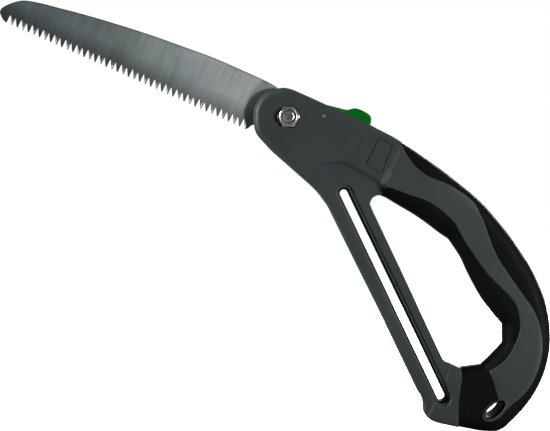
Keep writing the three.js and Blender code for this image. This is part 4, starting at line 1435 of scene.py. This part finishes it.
def make_world():
    """Brighter above, to the sides and towards +Y; the camera itself sees plain white."""
    world = bpy.context.scene.world or bpy.data.worlds.new("World")
    bpy.context.scene.world = world
    world.use_nodes = True
    shader = Shader(world.node_tree)
    direction = shader.node("TexCoord").outputs["Generated"]
    x, y, z = shader.node("SeparateXYZ", {0: direction}).outputs
    above = shader.remap(z, (0.0, 1.0), (0.0, 0.18))
    sides = shader.remap(shader.math("ABSOLUTE", x), (0.6, 1.0), (0.0, 0.08))
    rear = shader.remap(y, (0.1, 1.0), (0.0, 0.25))
    ambient = 0.03
    tone = shader.math("ADD", shader.math("ADD", above, sides), shader.math("ADD", rear, ambient))
    seen = shader.node("LightPath").outputs["Is Camera Ray"]
    strength = shader.node("Mix", {0: seen, 2: tone, 3: 1.0}, data_type="FLOAT").outputs[0]
    background = world.node_tree.nodes["Background"]
    shader.feed(background, {"Strength": strength, "Color": (1, 1, 1)})


# name, place, target, size, power in watts
LIGHTS = (
    ("key", (1.50, -1.17, 0.0), (0, 0, 0), (0.30, 0.30), 64.0),
    ("upper", (1.00, -0.55, 0.80), (0, 0, 0), (0.30, 0.30), 5.0),
    ("left", (-0.95, -0.010, 0.35), (-0.02, 0, 0.05), (0.10, 0.5), 38.0),
    ("rear_fill", (0.60, 1.0, 0.28), (0, 0, 0), (0.6, 0.6), 22.0),
)


def make_lights():
    for name, place, target, size, power in LIGHTS:
        light = bpy.data.lights.new(name, "AREA")
        light.shape = "RECTANGLE"
        light.size, light.size_y = size
        light.energy = power
        lamp = bpy.data.objects.new(name, light)
        bpy.context.scene.collection.objects.link(lamp)
        lamp.location = place
        aim = Vector(target) - Vector(place)
        lamp.rotation_euler = aim.to_track_quat("-Z", "Y").to_euler()


def make_camera():
    """Level camera on -Y looking towards +Y."""
    distance, view_width, sensor = 0.820, 0.363, 36
    camera = bpy.data.cameras.new("camera")
    camera.sensor_width = sensor
    camera.lens = sensor * distance / view_width
    camera.clip_start = 0.01
    holder = bpy.data.objects.new("camera", camera)
    bpy.context.scene.collection.objects.link(holder)
    holder.location = (PIVOT.x - 0.0088, -distance, PIVOT.z - 0.0645)
    holder.rotation_euler = (math.pi / 2, 0, 0)
    bpy.context.scene.camera = holder
    bpy.context.scene.view_settings.view_transform = "Standard"


make_floor()
make_world()
make_lights()
make_camera()

# ------------------------------------------------------------------ CAD materials
BY_SLOT = {
    "shell": shell_grey, "soft_grip": soft_black, "channel": channel_black, "blade": blade_steel,
    "plated_steel": zinc, "plain_steel": plain_steel, "locking_ring": nylon,
    "button": button_green,
}
NODE_SLOT = {part["node"]: part["material_slot"] for part in frame["record"]["subparts"]}
for name, node in frame["nodes"].items():
    paint(node, BY_SLOT[NODE_SLOT[name]])
